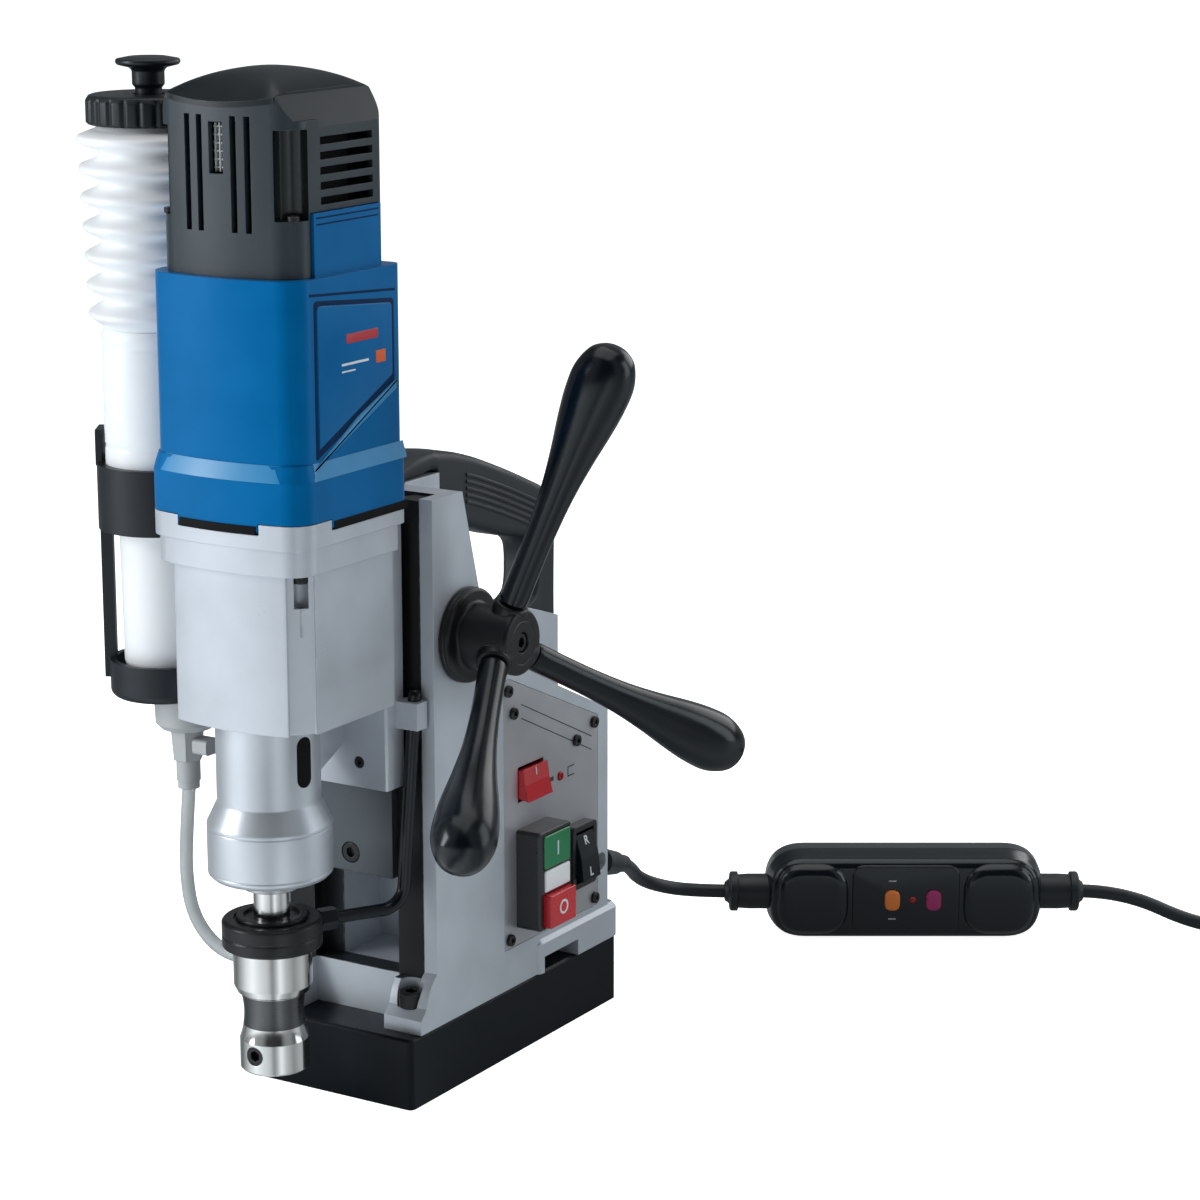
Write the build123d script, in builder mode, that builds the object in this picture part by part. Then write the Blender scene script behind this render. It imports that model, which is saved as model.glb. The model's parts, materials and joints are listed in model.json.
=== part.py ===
"""Magnetic drill press: a portable drill on an electromagnetic base.

Millimetres, +Z up, +X to the right of the operator facing the spindle side (-Y).
The origin is the centre of the magnet's underside.
"""

import os
from math import atan2, cos, degrees, pi, radians, sin, tan

from build123d import *

os.makedirs("parts", exist_ok=True)

# ---------------------------------------------------------------- driving dimensions
BASE_WIDTH, BASE_LENGTH, BASE_HEIGHT = 100, 200, 37.5
SPINDLE_Y = -147.6  # spindle axis, in front of the base
STAND_X = 50  # outer face of the stand's side walls
WALL = 8  # thickness of the side walls
COLUMN_FRONT, COLUMN_TOP = -76, 312
FEED_Y, FEED_Z = -48, 238.6  # axis of the feed shaft, along X
TRAVEL_MODULE = 2  # tooth module of rack and pinion
PINION_TEETH = 14
GEARBOX_BOTTOM, GEARBOX_TOP = 212, 304
FLANGE_TOP = 311
MOTOR_BOTTOM, MOTOR_TOP = 312.2, 431
CAP_PEAK = 526
CASE_HALF, CASE_FRONT, CASE_BACK, CASE_BOW, CASE_CORNER = 44, -175, -90, 7, 14
SLEEVE_BOTTOM = 131
HOLDER_BOTTOM, HOLDER_BORE, HOLDER_BORE_DEPTH = 30.7, 9.5, 50
BOTTLE_X, BOTTLE_Y = -84.5, -120
RUN = 0.05  # radial running clearance of shafts
FIT = 0.02  # radial gap of parts pressed together
SLIDE_GAP = 0.3  # gap along the dovetail
CORD_D = 8
BOX_TURN = 31.4  # degrees that the in-line box is turned about Z
BOX_X, BOX_Y = 137.5, 281  # centre of the in-line box on the floor

FLOOR_ALIGN = (Align.CENTER, Align.CENTER, Align.MIN)
SPINDLE = Plane((0, SPINDLE_Y, 0))
BOTTLE = Plane((BOTTLE_X, BOTTLE_Y, 0))
SIDE = Plane((0, 0, 0), x_dir=(0, 1, 0), z_dir=(1, 0, 0))  # sketch x = world Y, sketch y = world Z


def finish(piece, name):
    """Label a finished sub-part and write it as its own STEP file."""
    piece.part.label = name
    export_step(piece.part, f"parts/{name}.step")


def turned(profile, plane):
    """A private solid of revolution about the plane's local Z, from (radius, height) points."""
    section = Plane(plane.origin, x_dir=plane.x_dir, z_dir=-plane.y_dir)
    with BuildPart(mode=Mode.PRIVATE) as body:
        with BuildSketch(section):
            with BuildLine():
                Polyline(*profile, close=True)
            make_face()
        revolve(axis=Axis(plane.origin, plane.z_dir))
    return body.part


def casing_outline(half, front, back, bow, corner, rear_corner=6):
    """Plan outline of a drill casing: a rounded rectangle with a bowed front."""
    with BuildSketch(mode=Mode.PRIVATE) as outline:
        with BuildLine():
            ThreePointArc((-half, front), (0, front - bow), (half, front))
            Polyline((half, front), (half, back), (-half, back), (-half, front))
        make_face()
        fillet(outline.vertices().group_by(Axis.Y)[0], corner)
        fillet(outline.vertices().group_by(Axis.Y)[-1], rear_corner)
    return outline.sketch


def socket_screw(head_radius, head_height, shank_radius, shank_length, key_radius):
    """A private socket head cap screw, head bottom at the origin, shank along -Z."""
    with BuildPart(mode=Mode.PRIVATE) as screw:
        Cylinder(head_radius, head_height, align=FLOOR_ALIGN)
        chamfer(screw.edges().group_by(Axis.Z)[-1], head_radius * 0.12)
        with BuildSketch(Plane.XY.offset(head_height)):
            RegularPolygon(key_radius, 6)
        extrude(amount=-head_height * 0.6, mode=Mode.SUBTRACT)
        Cylinder(shank_radius, shank_length, align=(Align.CENTER, Align.CENTER, Align.MAX))
    return screw.part


# ---------------------------------------------------------------- magnet
MAGNET_WALL = 12
POLE_WIDTH, POLE_LENGTH = 34, 134
COIL_TOP = 26
BOLT_X, BOLT_Y, BOLT_SHANK = 38, 82, 4
FOOT_TOP = 49

with BuildPart() as magnet_body:
    Box(BASE_WIDTH, BASE_LENGTH, BASE_HEIGHT, align=FLOOR_ALIGN)
    fillet(magnet_body.edges().filter_by(Axis.Z), 3)
    chamfer(magnet_body.faces().sort_by(Axis.Z)[-1].edges(), 1.2)
    with BuildSketch():
        Rectangle(BASE_WIDTH - 2 * MAGNET_WALL, BASE_LENGTH - 2 * MAGNET_WALL)
        Rectangle(POLE_WIDTH, POLE_LENGTH, mode=Mode.SUBTRACT)
    extrude(amount=COIL_TOP, mode=Mode.SUBTRACT)
    with Locations(Plane.XY.offset(BASE_HEIGHT)):
        with GridLocations(2 * BOLT_X, 2 * BOLT_Y, 2, 2):
            Hole(BOLT_SHANK + FIT, depth=10)
finish(magnet_body, "magnet_body")

with BuildPart() as magnet_coil:
    with BuildSketch():
        Rectangle(BASE_WIDTH - 2 * MAGNET_WALL, BASE_LENGTH - 2 * MAGNET_WALL)
        Rectangle(POLE_WIDTH, POLE_LENGTH, mode=Mode.SUBTRACT)
    extrude(amount=COIL_TOP)
finish(magnet_coil, "magnet_coil")

# ---------------------------------------------------------------- stand
CHANNEL_X, CHANNEL_BACK = 42, -62
PINION_ROOM_X, PINION_ROOM_BACK = 18, -28
RACK_X = 9  # half width of the rack
CHANNEL_FLOOR = 62
HOUSING_BACK = 91
CAVITY_X, CAVITY_FRONT, CAVITY_BACK = 43, 0, 84
CAVITY_LOW, CAVITY_HIGH = 62, 160
PANEL_T = 3
BUSH_R, SHAFT_R = 9, 6
SPINE_X = 12.5
SPINE_BACK = 100
SKIRT_X = 52
GLAND_Y, GLAND_Z = 84, 83

with BuildPart() as stand_frame:
    # side walls with their flared toes, and the sloped housing behind the column
    with BuildSketch(SIDE.offset(-STAND_X)):
        with BuildLine():
            Polyline((-49, COLUMN_TOP), (COLUMN_FRONT, COLUMN_TOP), (COLUMN_FRONT, 66))
            RadiusArc((COLUMN_FRONT, 66), (-86, FOOT_TOP + 1), -24)
            Polyline(
                (-86, FOOT_TOP + 1), (-91, FOOT_TOP - 4), (-91, BASE_HEIGHT),
                (HOUSING_BACK, BASE_HEIGHT), (HOUSING_BACK, 168.5), (8.5, 207.2), (-18, 226), (-35, 261),
                (-49, COLUMN_TOP),
            )
        make_face()
    extrude(amount=2 * STAND_X)
    # the column narrows behind its flanks, towards the carry handle
    for side in (-1, 1):
        with BuildSketch(Plane.XY.offset(226)):
            with BuildLine():
                Polyline(
                    (side * (STAND_X + 1), -36), (side * 14, 6), (side * 14, 60), (side * (STAND_X + 1), 60),
                    close=True,
                )
            make_face()
        extrude(amount=90, mode=Mode.SUBTRACT)
    # rear spine that carries the handle's foot
    with BuildSketch(SIDE.offset(-SPINE_X)):
        with BuildLine():
            Polyline(
                (-45, COLUMN_TOP), (-45, BASE_HEIGHT), (SPINE_BACK, BASE_HEIGHT), (SPINE_BACK, 214),
                (67, 225), (6, 225), (-14, COLUMN_TOP - 20), (-14, COLUMN_TOP), close=True,
            )
        make_face()
    extrude(amount=2 * SPINE_X)
    # skirt around the rear foot, with the slot for the safety strap
    with BuildSketch(Plane.XY.offset(BASE_HEIGHT)):
        with Locations((0, (17 + SPINE_BACK) / 2)):
            RectangleRounded(2 * SKIRT_X, SPINE_BACK - 17, 5)
    extrude(amount=16.5)
    with BuildSketch(Plane.XY.offset(BASE_HEIGHT + 16.5)):
        with Locations((0, (17 + SPINE_BACK) / 2)):
            RectangleRounded(2 * SKIRT_X, SPINE_BACK - 17, 5)
    extrude(amount=3, taper=40)
    with BuildSketch(Plane.XY.offset(BASE_HEIGHT)):
        with Locations((0, 40)):
            Rectangle(2 * SKIRT_X + 10, 34)
    extrude(amount=9, mode=Mode.SUBTRACT)
    # open front between the toes, and the dovetail channel
    with BuildSketch(SIDE.offset(-27)):
        with BuildLine():
            Polyline((-95, 30), (-95, 70), (-74, 70), (-74, 30), close=True)
        make_face()
    extrude(amount=54, mode=Mode.SUBTRACT)
    with BuildSketch(Plane.XY.offset(CHANNEL_FLOOR)):
        with Locations((0, -75)):
            Rectangle(2 * CHANNEL_X, 2 * (75 + CHANNEL_BACK))
    extrude(amount=300, mode=Mode.SUBTRACT)
    with BuildSketch(Plane.XY.offset(CHANNEL_FLOOR)):
        with Locations((0, (CHANNEL_BACK + PINION_ROOM_BACK) / 2)):
            Rectangle(2 * PINION_ROOM_X, PINION_ROOM_BACK - CHANNEL_BACK)
    extrude(amount=238, mode=Mode.SUBTRACT)
    # way for the rack's teeth, open at the top
    with BuildSketch(Plane.XY.offset(CHANNEL_FLOOR)):
        with Locations((0, CHANNEL_BACK)):
            Rectangle(2 * RACK_X + 2, 7)
    extrude(amount=300, mode=Mode.SUBTRACT)
    # hollow for the electronics, open to the right under the panel
    with BuildSketch(SIDE.offset(-CAVITY_X)):
        with Locations(((CAVITY_FRONT + CAVITY_BACK) / 2 - 6, (CAVITY_LOW + CAVITY_HIGH) / 2)):
            Rectangle(CAVITY_BACK - CAVITY_FRONT - 12, CAVITY_HIGH - CAVITY_LOW)
    extrude(amount=CAVITY_X + STAND_X, mode=Mode.SUBTRACT)
    # seat of the panel
    with BuildSketch(SIDE.offset(STAND_X - PANEL_T)):
        with BuildLine():
            Polyline((-13, 59.5), (80.7, 59.5), (80.7, 167), (-7, 206), (-13, 206), close=True)
        make_face()
    extrude(amount=PANEL_T, mode=Mode.SUBTRACT)
    # feed shaft bore, gland bore and bolt holes
    with Locations(Plane((0, FEED_Y, FEED_Z), z_dir=(1, 0, 0))):
        Cylinder(BUSH_R + FIT, 2 * STAND_X + 2, mode=Mode.SUBTRACT)
    with Locations(Plane((STAND_X, GLAND_Y, GLAND_Z), z_dir=(1, 0, 0))):
        Cylinder(5 + FIT, 60, mode=Mode.SUBTRACT)
    with Locations(Plane.XY.offset(BASE_HEIGHT)):
        with GridLocations(2 * BOLT_X, 2 * BOLT_Y, 2, 2):
            Cylinder(BOLT_SHANK + FIT, 40, mode=Mode.SUBTRACT)
    with Locations(Plane.XY.offset(FOOT_TOP)):
        with GridLocations(2 * BOLT_X, 2 * BOLT_Y, 2, 2):
            Cylinder(7.2, 13, align=FLOOR_ALIGN, mode=Mode.SUBTRACT)
finish(stand_frame, "stand_frame")

with BuildPart() as base_bolts:
    bolt = socket_screw(6.5, 8, BOLT_SHANK, 21, 3.4)
    for bolt_spot in GridLocations(2 * BOLT_X, 2 * BOLT_Y, 2, 2):
        add(Plane.XY.offset(FOOT_TOP).location * bolt_spot * bolt)
finish(base_bolts, "base_bolts")

# ---------------------------------------------------------------- dovetail and feed shaft
GIB_TOP = 311
DOVE_FRONT, DOVE_BACK = 26, 32  # half width of the slide at the front and back of the dovetail

with BuildPart() as gib_strips:
    with BuildSketch(Plane.XY.offset(CHANNEL_FLOOR)):
        with BuildLine():
            Polyline(
                (DOVE_FRONT + 0.35, COLUMN_FRONT), (DOVE_BACK + 0.35, CHANNEL_BACK),
                (CHANNEL_X, CHANNEL_BACK), (CHANNEL_X, COLUMN_FRONT), close=True,
            )
        make_face()
        mirror(about=Plane.YZ)
    extrude(amount=GIB_TOP - CHANNEL_FLOOR)
    with Locations(Plane((0, -69, 0), z_dir=(1, 0, 0))):
        for screw_z in (100, 180, 280):
            with Locations((-screw_z, 0)):
                Cylinder(2 + FIT, 2 * CHANNEL_X, mode=Mode.SUBTRACT)
finish(gib_strips, "gib_strips")

with BuildPart() as feed_bushes:
    for side in (-1, 1):
        with BuildSketch(Plane((side * STAND_X, FEED_Y, FEED_Z), z_dir=(-side, 0, 0))):
            Circle(BUSH_R)
            Circle(SHAFT_R + RUN, mode=Mode.SUBTRACT)
        extrude(amount=STAND_X - PINION_ROOM_X)
finish(feed_bushes, "feed_bushes")

PINION_R = TRAVEL_MODULE * PINION_TEETH / 2
HUB_BACK, HUB_FACE, HUB_R, DISC_R, DISC_T = 50.4, 85, 17, 24.5, 5.6
LEVER_ROOT_X, LEVER_TILT = 70, 23.3
LEVER_ANGLES = (88, 208, 328)
LEVER_SOCKET, LEVER_SHOULDER = 8.5, 22  # distances from the feed axis
LEVER_SHANK_R = 5


def lever_direction(angle):
    """Unit vector of a lever that leans outward, at an angle about the feed axis."""
    out = cos(radians(LEVER_TILT))
    return Vector(sin(radians(LEVER_TILT)), out * cos(radians(angle)), out * sin(radians(angle)))


with BuildPart() as pinion_shaft:
    with BuildSketch(Plane((-STAND_X - 2, FEED_Y, FEED_Z), z_dir=(1, 0, 0))):
        Circle(SHAFT_R)
    extrude(amount=STAND_X + 2 + 68)
    with BuildSketch(Plane((-8, FEED_Y, FEED_Z), x_dir=(0, 1, 0), z_dir=(1, 0, 0))):
        Circle(PINION_R - 1.25 * TRAVEL_MODULE)
        with PolarLocations(0, PINION_TEETH, start_angle=180):
            Polygon(
                (PINION_R - 3.5, -2.2), (PINION_R, -1.25), (PINION_R + 1.7, -0.55),
                (PINION_R + 1.7, 0.55), (PINION_R, 1.25), (PINION_R - 3.5, 2.2), align=None,
            )
    extrude(amount=16)
finish(pinion_shaft, "pinion_shaft")

with BuildPart() as feed_hub:
    with BuildSketch(Plane((HUB_BACK, FEED_Y, FEED_Z), z_dir=(1, 0, 0))):
        Circle(DISC_R)
    extrude(amount=DISC_T)
    fillet(feed_hub.edges().group_by(Axis.X)[-1], 2)
    with BuildSketch(Plane((HUB_BACK, FEED_Y, FEED_Z), z_dir=(1, 0, 0))):
        Circle(HUB_R)
    extrude(amount=HUB_FACE - HUB_BACK)
    chamfer(feed_hub.edges().group_by(Axis.X)[-1], 1)
    with Locations(Plane((HUB_BACK, FEED_Y, FEED_Z), z_dir=(1, 0, 0))):
        Cylinder(SHAFT_R + FIT, 2 * (68 - HUB_BACK), mode=Mode.SUBTRACT)
    with Locations(Plane((HUB_FACE, FEED_Y, FEED_Z), z_dir=(1, 0, 0))):
        Cylinder(3 + FIT, 40, mode=Mode.SUBTRACT)
        Cylinder(5 + FIT, 12, mode=Mode.SUBTRACT)
    for lever_angle in LEVER_ANGLES:
        lever_dir = lever_direction(lever_angle)
        root = Vector(LEVER_ROOT_X, FEED_Y, FEED_Z) + lever_dir * LEVER_SOCKET
        with Locations(Plane(root, z_dir=lever_dir)):
            Cylinder(LEVER_SHANK_R + FIT, 30, align=FLOOR_ALIGN, mode=Mode.SUBTRACT)
finish(feed_hub, "feed_hub")

with BuildPart() as hub_screw:
    add(Plane((HUB_FACE - 6, FEED_Y, FEED_Z), z_dir=(1, 0, 0)).location * socket_screw(5, 5, 3, 11, 2.9))
finish(hub_screw, "hub_screw")

LEVER_SHAPE = (  # distance from the feed axis, radius
    (LEVER_SHOULDER, 7.4), (40, 7.2), (62, 7.4), (84, 8.6), (104, 11), (124, 14.2), (138, 15.8), (150, 15.7), (160, 12),
)
LEVER_END = 166
for number, lever_angle in enumerate(LEVER_ANGLES, start=1):
    lever_dir = lever_direction(lever_angle)
    lever_origin = Vector(LEVER_ROOT_X, FEED_Y, FEED_Z)
    lever_section = Plane(lever_origin, x_dir=lever_dir, z_dir=lever_dir.cross(Vector(1, 0, 0)))
    with BuildPart() as lever:
        with BuildSketch(lever_section):
            with BuildLine():
                grip = Spline(*LEVER_SHAPE, (LEVER_END, 0), tangents=((1, 0), (0, -1)))
                Polyline(
                    (LEVER_END, 0), (LEVER_SOCKET + 0.5, 0), (LEVER_SOCKET + 0.5, LEVER_SHANK_R),
                    (LEVER_SHOULDER, LEVER_SHANK_R), LEVER_SHAPE[0],
                )
            make_face()
        revolve(axis=Axis(lever_origin, lever_dir))
    finish(lever, f"feed_lever_{number}")


# ---------------------------------------------------------------- carriage: slide, rack, bracket
ROD_R = 3.3
ROD_TOP = (41, -80, 213)  # upper end of the rod that carries the coolant ring
rod_dir = Vector(cos(radians(59.2)), sin(radians(59.2)), 0)
rod_start = Vector(0, SPINDLE_Y, 103) + rod_dir * 33
rod_corner = Vector(0, SPINDLE_Y, 103) + rod_dir * 71.2
SLIDE_BOTTOM, SLIDE_TOP = 114, 300
BRACKET_X, BRACKET_FRONT, BRACKET_BACK, BRACKET_BOTTOM = 34, -95, -80, 165
RACK_BACK, RACK_BOTTOM = -70, 116
RACK_PITCH_Y = FEED_Y - PINION_R
RACK_TEETH = 28

with BuildPart() as slide_plate:
    with BuildSketch(Plane.XY.offset(SLIDE_BOTTOM)):
        with BuildLine():
            Polyline(
                (0, BRACKET_BACK), (DOVE_FRONT, BRACKET_BACK), (DOVE_FRONT, COLUMN_FRONT),
                (DOVE_BACK, CHANNEL_BACK - SLIDE_GAP), (RACK_X, CHANNEL_BACK - SLIDE_GAP), (RACK_X, RACK_BACK),
                (0, RACK_BACK), close=True,
            )
        make_face()
        mirror(about=Plane.YZ)
    extrude(amount=SLIDE_TOP - SLIDE_BOTTOM)
    with Locations(Plane((0, BRACKET_BACK, SLIDE_BOTTOM + 10), z_dir=(0, -1, 0))):
        CounterBoreHole(3 + FIT, 5.6 + FIT, 4, depth=9)
finish(slide_plate, "slide_plate")

tooth_step = pi * TRAVEL_MODULE
rack_middle = FEED_Z + tooth_step / 2
rack_first = rack_middle - tooth_step * 19
with BuildPart() as feed_rack:
    with BuildSketch(SIDE.offset(-RACK_X + 0.2)):
        with Locations(((RACK_BACK + RACK_PITCH_Y - 2.5) / 2, (RACK_BOTTOM + SLIDE_TOP) / 2)):
            Rectangle(RACK_PITCH_Y - 2.5 - RACK_BACK, SLIDE_TOP - RACK_BOTTOM)
        for tooth in range(RACK_TEETH):
            with Locations((RACK_PITCH_Y, rack_first + tooth * tooth_step)):
                Polygon((-2.6, 2.15), (-2.6, -2.15), (1.8, -0.65), (1.8, 0.65), align=None)
    extrude(amount=2 * RACK_X - 0.4)
finish(feed_rack, "feed_rack")

with BuildPart() as slide_bracket:
    with BuildSketch(Plane.XY.offset(BRACKET_BOTTOM)):
        with Locations((0, (BRACKET_FRONT + BRACKET_BACK) / 2)):
            Rectangle(2 * BRACKET_X, BRACKET_BACK - BRACKET_FRONT)
    extrude(amount=SLIDE_TOP - BRACKET_BOTTOM)
    chamfer(slide_bracket.edges().filter_by(Axis.Z).group_by(Axis.Y)[0], 1)
    with BuildSketch(SIDE.offset(-7)):
        with BuildLine():
            Polyline(
                (-95, GEARBOX_BOTTOM - 0.1), (-125, GEARBOX_BOTTOM - 0.1), (-125, 172), (-95, 186), close=True
            )
        make_face()
    extrude(amount=14)
    with Locations(SPINDLE):
        Cylinder(25.7 + FIT, 300, align=FLOOR_ALIGN, mode=Mode.SUBTRACT)
    for side in (-1, 1):
        with Locations(Plane((side * 17, BRACKET_FRONT, 178), z_dir=(0, -1, 0))):
            CounterBoreHole(1.6 + FIT, 3.1 + FIT, 2.5, depth=12)
    # lug that clamps the upper end of the coolant ring's rod
    with BuildSketch(Plane.XY.offset(196)):
        with Locations((40, -81.5)):
            Rectangle(13, 9)
    extrude(amount=14)
    with Locations(Plane(ROD_TOP, z_dir=Vector(*ROD_TOP) - rod_corner)):
        Cylinder(ROD_R + FIT, 60, mode=Mode.SUBTRACT)
finish(slide_bracket, "slide_bracket")

# ---------------------------------------------------------------- gearbox
GEARBOX_WALL = 4
SPINDLE_TEETH, SPINDLE_MODULE, SMALL_TEETH = 32, 1.5, 13
LARGE_TEETH, MOTOR_MODULE, MOTOR_TEETH = 34, 1, 10
MOTOR_Y = -131  # motor shaft, on the centre plane
first_reach = SPINDLE_MODULE * (SPINDLE_TEETH + SMALL_TEETH) / 2
second_reach = MOTOR_MODULE * (LARGE_TEETH + MOTOR_TEETH) / 2
shaft_gap = MOTOR_Y - SPINDLE_Y
shaft_y = SPINDLE_Y + (first_reach**2 - second_reach**2 + shaft_gap**2) / (2 * shaft_gap)
shaft_x = (second_reach**2 - (shaft_y - MOTOR_Y) ** 2) ** 0.5
SHAFT2 = (shaft_x, shaft_y)  # plan position of the intermediate shaft
MOTOR_AXIS = (0, MOTOR_Y)
BEARING_OUT, BEARING_IN = 23.5, 12.5
CASE_SCREW_X, CASE_SCREW_Y, CASE_SCREW_SEAT = 34.5, -165, GEARBOX_TOP - 14
gearbox_plan = casing_outline(42, -172, BRACKET_FRONT, 8, 14, 5)
gearbox_hollow = casing_outline(42 - GEARBOX_WALL, -172 + GEARBOX_WALL, BRACKET_FRONT - GEARBOX_WALL, 8, 11, 2)
flange_plan = casing_outline(46.5, -177.5, -91, 7, CASE_CORNER)
flange_hollow = casing_outline(37, -167, -99, 7, 10)

with BuildPart() as gearbox_housing:
    with BuildSketch(Plane.XY.offset(GEARBOX_BOTTOM)):
        add(gearbox_plan)
    extrude(amount=GEARBOX_TOP - GEARBOX_BOTTOM)
    with BuildSketch(Plane.XY.offset(GEARBOX_TOP - 13)):
        add(casing_outline(45, -175.5, BRACKET_FRONT, 8, 14, 5))
    extrude(amount=13)
    with BuildSketch(Plane.XY.offset(GEARBOX_BOTTOM + 7)):
        add(gearbox_hollow)
    extrude(amount=100, mode=Mode.SUBTRACT)
    # screw columns in the four corners, each with a flute below its screw
    with BuildSketch(Plane.XY.offset(GEARBOX_BOTTOM)):
        with Locations((33, -164), (-33, -164), (36, -101), (-36, -101)):
            Circle(6)
    extrude(amount=GEARBOX_TOP - GEARBOX_BOTTOM)
    for side in (-1, 1):
        with BuildSketch(Plane.XY.offset(GEARBOX_BOTTOM - 1)):
            with Locations(Location((side * 39, -170.5), side * 45)):
                RectangleRounded(14, 9, 1.5)
        extrude(amount=GEARBOX_TOP - 14 - GEARBOX_BOTTOM + 1, mode=Mode.SUBTRACT)
        with Locations(Plane((side * CASE_SCREW_X, CASE_SCREW_Y, CASE_SCREW_SEAT))):
            Cylinder(2.5 + FIT, 60, mode=Mode.SUBTRACT)
            Cylinder(4.3, 16, align=(Align.CENTER, Align.CENTER, Align.MAX), mode=Mode.SUBTRACT)
    with Locations(Plane((0, SPINDLE_Y, GEARBOX_BOTTOM))):
        Cylinder(19, 40, mode=Mode.SUBTRACT)
    # blind bearing of the intermediate shaft in the floor
    with Locations(Plane((*SHAFT2, GEARBOX_BOTTOM + 3))):
        Cylinder(4 + RUN, 10, align=FLOOR_ALIGN, mode=Mode.SUBTRACT)
finish(gearbox_housing, "gearbox_housing")

with BuildPart() as gearbox_flange:
    with BuildSketch(Plane.XY.offset(GEARBOX_TOP)):
        add(flange_plan)
    extrude(amount=FLANGE_TOP - GEARBOX_TOP)
    # raised tabs that locate the motor casing at its front corners
    for side in (-1, 1):
        with BuildSketch(Plane.XY.offset(FLANGE_TOP)):
            add(flange_plan)
            with Locations((side * 41, -172)):
                Rectangle(34, 34, mode=Mode.INTERSECT)
            add(casing_outline(42.5, -173.5, -95, 7, 11), mode=Mode.SUBTRACT)
        extrude(amount=5)
    with BuildSketch(Plane.XY.offset(GEARBOX_TOP)):
        with Locations(MOTOR_AXIS):
            Circle(14 + FIT)
        with Locations(SHAFT2):
            Circle(4 + RUN)
        with Locations((0, SPINDLE_Y - 6)):
            Circle(3)
        with Locations((CASE_SCREW_X, CASE_SCREW_Y), (-CASE_SCREW_X, CASE_SCREW_Y)):
            Circle(2.5 + FIT)
    extrude(amount=12, mode=Mode.SUBTRACT)
finish(gearbox_flange, "gearbox_flange")

with BuildPart() as spindle_sleeve:
    add(
        turned(
            (
                (12.9, SLEEVE_BOTTOM), (28.5, SLEEVE_BOTTOM), (31, SLEEVE_BOTTOM + 2.5), (31, 159),
                (25.7, 170), (25.7, GEARBOX_BOTTOM), (BEARING_OUT + FIT, GEARBOX_BOTTOM),
                (BEARING_OUT + FIT, 199), (20, 199), (20, 147), (BEARING_OUT + FIT, 147),
                (BEARING_OUT + FIT, 134.5), (12.9, 134.5),
            ),
            SPINDLE,
        )
    )
finish(spindle_sleeve, "spindle_sleeve")

with BuildPart() as spindle_bearings:
    for bearing_low in (134.8, 199.3):
        with BuildSketch(Plane((0, SPINDLE_Y, bearing_low))):
            Circle(BEARING_OUT)
            Circle(BEARING_IN + RUN, mode=Mode.SUBTRACT)
        extrude(amount=12)
finish(spindle_bearings, "spindle_bearings")

# ---------------------------------------------------------------- spindle train
def gear_sketch(plane, module, teeth, bore, turn=0):
    """A private spur gear profile with straight-flanked, backlashed teeth."""
    pitch = module * teeth / 2
    with BuildSketch(plane, mode=Mode.PRIVATE) as gear:
        Circle(pitch - 1.25 * module)
        with PolarLocations(0, teeth, start_angle=turn):
            Polygon(
                (pitch - 1.5 * module, -module), (pitch, -0.62 * module), (pitch + 0.85 * module, -0.28 * module),
                (pitch + 0.85 * module, 0.28 * module), (pitch, 0.62 * module), (pitch - 1.5 * module, module),
                align=None,
            )
        if bore:
            Circle(bore, mode=Mode.SUBTRACT)
    return gear.sketch


def mesh_turn(from_xy, to_xy, from_turn, from_teeth, to_teeth):
    """Rotation that puts a tooth gap of the second gear opposite a tooth of the first."""
    line = degrees(atan2(to_xy[1] - from_xy[1], to_xy[0] - from_xy[0]))
    phase = (line - from_turn) * from_teeth / 360
    return line + 180 + (phase + 0.5) * 360 / to_teeth


small_turn = mesh_turn((0, SPINDLE_Y), SHAFT2, 0, SPINDLE_TEETH, SMALL_TEETH)
motor_turn = mesh_turn(SHAFT2, MOTOR_AXIS, 0, LARGE_TEETH, MOTOR_TEETH)

SPINDLE_LOW, SPINDLE_TOP = 124.6, 262
TAPER_LOW_R, TAPER_TOP_R, TAPER_TOP = 9, 7.4, 188
with BuildPart() as spindle:
    add(
        turned(
            (
                (TAPER_LOW_R, SPINDLE_LOW), (13.8, SPINDLE_LOW), (13.8, 129.8), (12.5, 130.4), (BEARING_IN, 225),
                (10, 225), (10, SPINDLE_TOP), (0, SPINDLE_TOP), (0, TAPER_TOP + 14),
                (TAPER_TOP_R, TAPER_TOP + 10),
            ),
            SPINDLE,
        )
    )
finish(spindle, "spindle")

with BuildPart() as spindle_gear:
    add(gear_sketch(Plane((0, SPINDLE_Y, 240)), SPINDLE_MODULE, SPINDLE_TEETH, 10 + FIT))
    extrude(amount=16)
finish(spindle_gear, "spindle_gear")

with BuildPart() as intermediate_shaft:
    with BuildSketch(Plane((*SHAFT2, GEARBOX_BOTTOM + 3.5))):
        Circle(4)
    extrude(amount=FLANGE_TOP - GEARBOX_BOTTOM - 5)
    add(gear_sketch(Plane((*SHAFT2, 238)), SPINDLE_MODULE, SMALL_TEETH, 0, small_turn))
    extrude(amount=20)
    add(gear_sketch(Plane((*SHAFT2, 280)), MOTOR_MODULE, LARGE_TEETH, 0))
    extrude(amount=11)
finish(intermediate_shaft, "intermediate_shaft")

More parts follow.
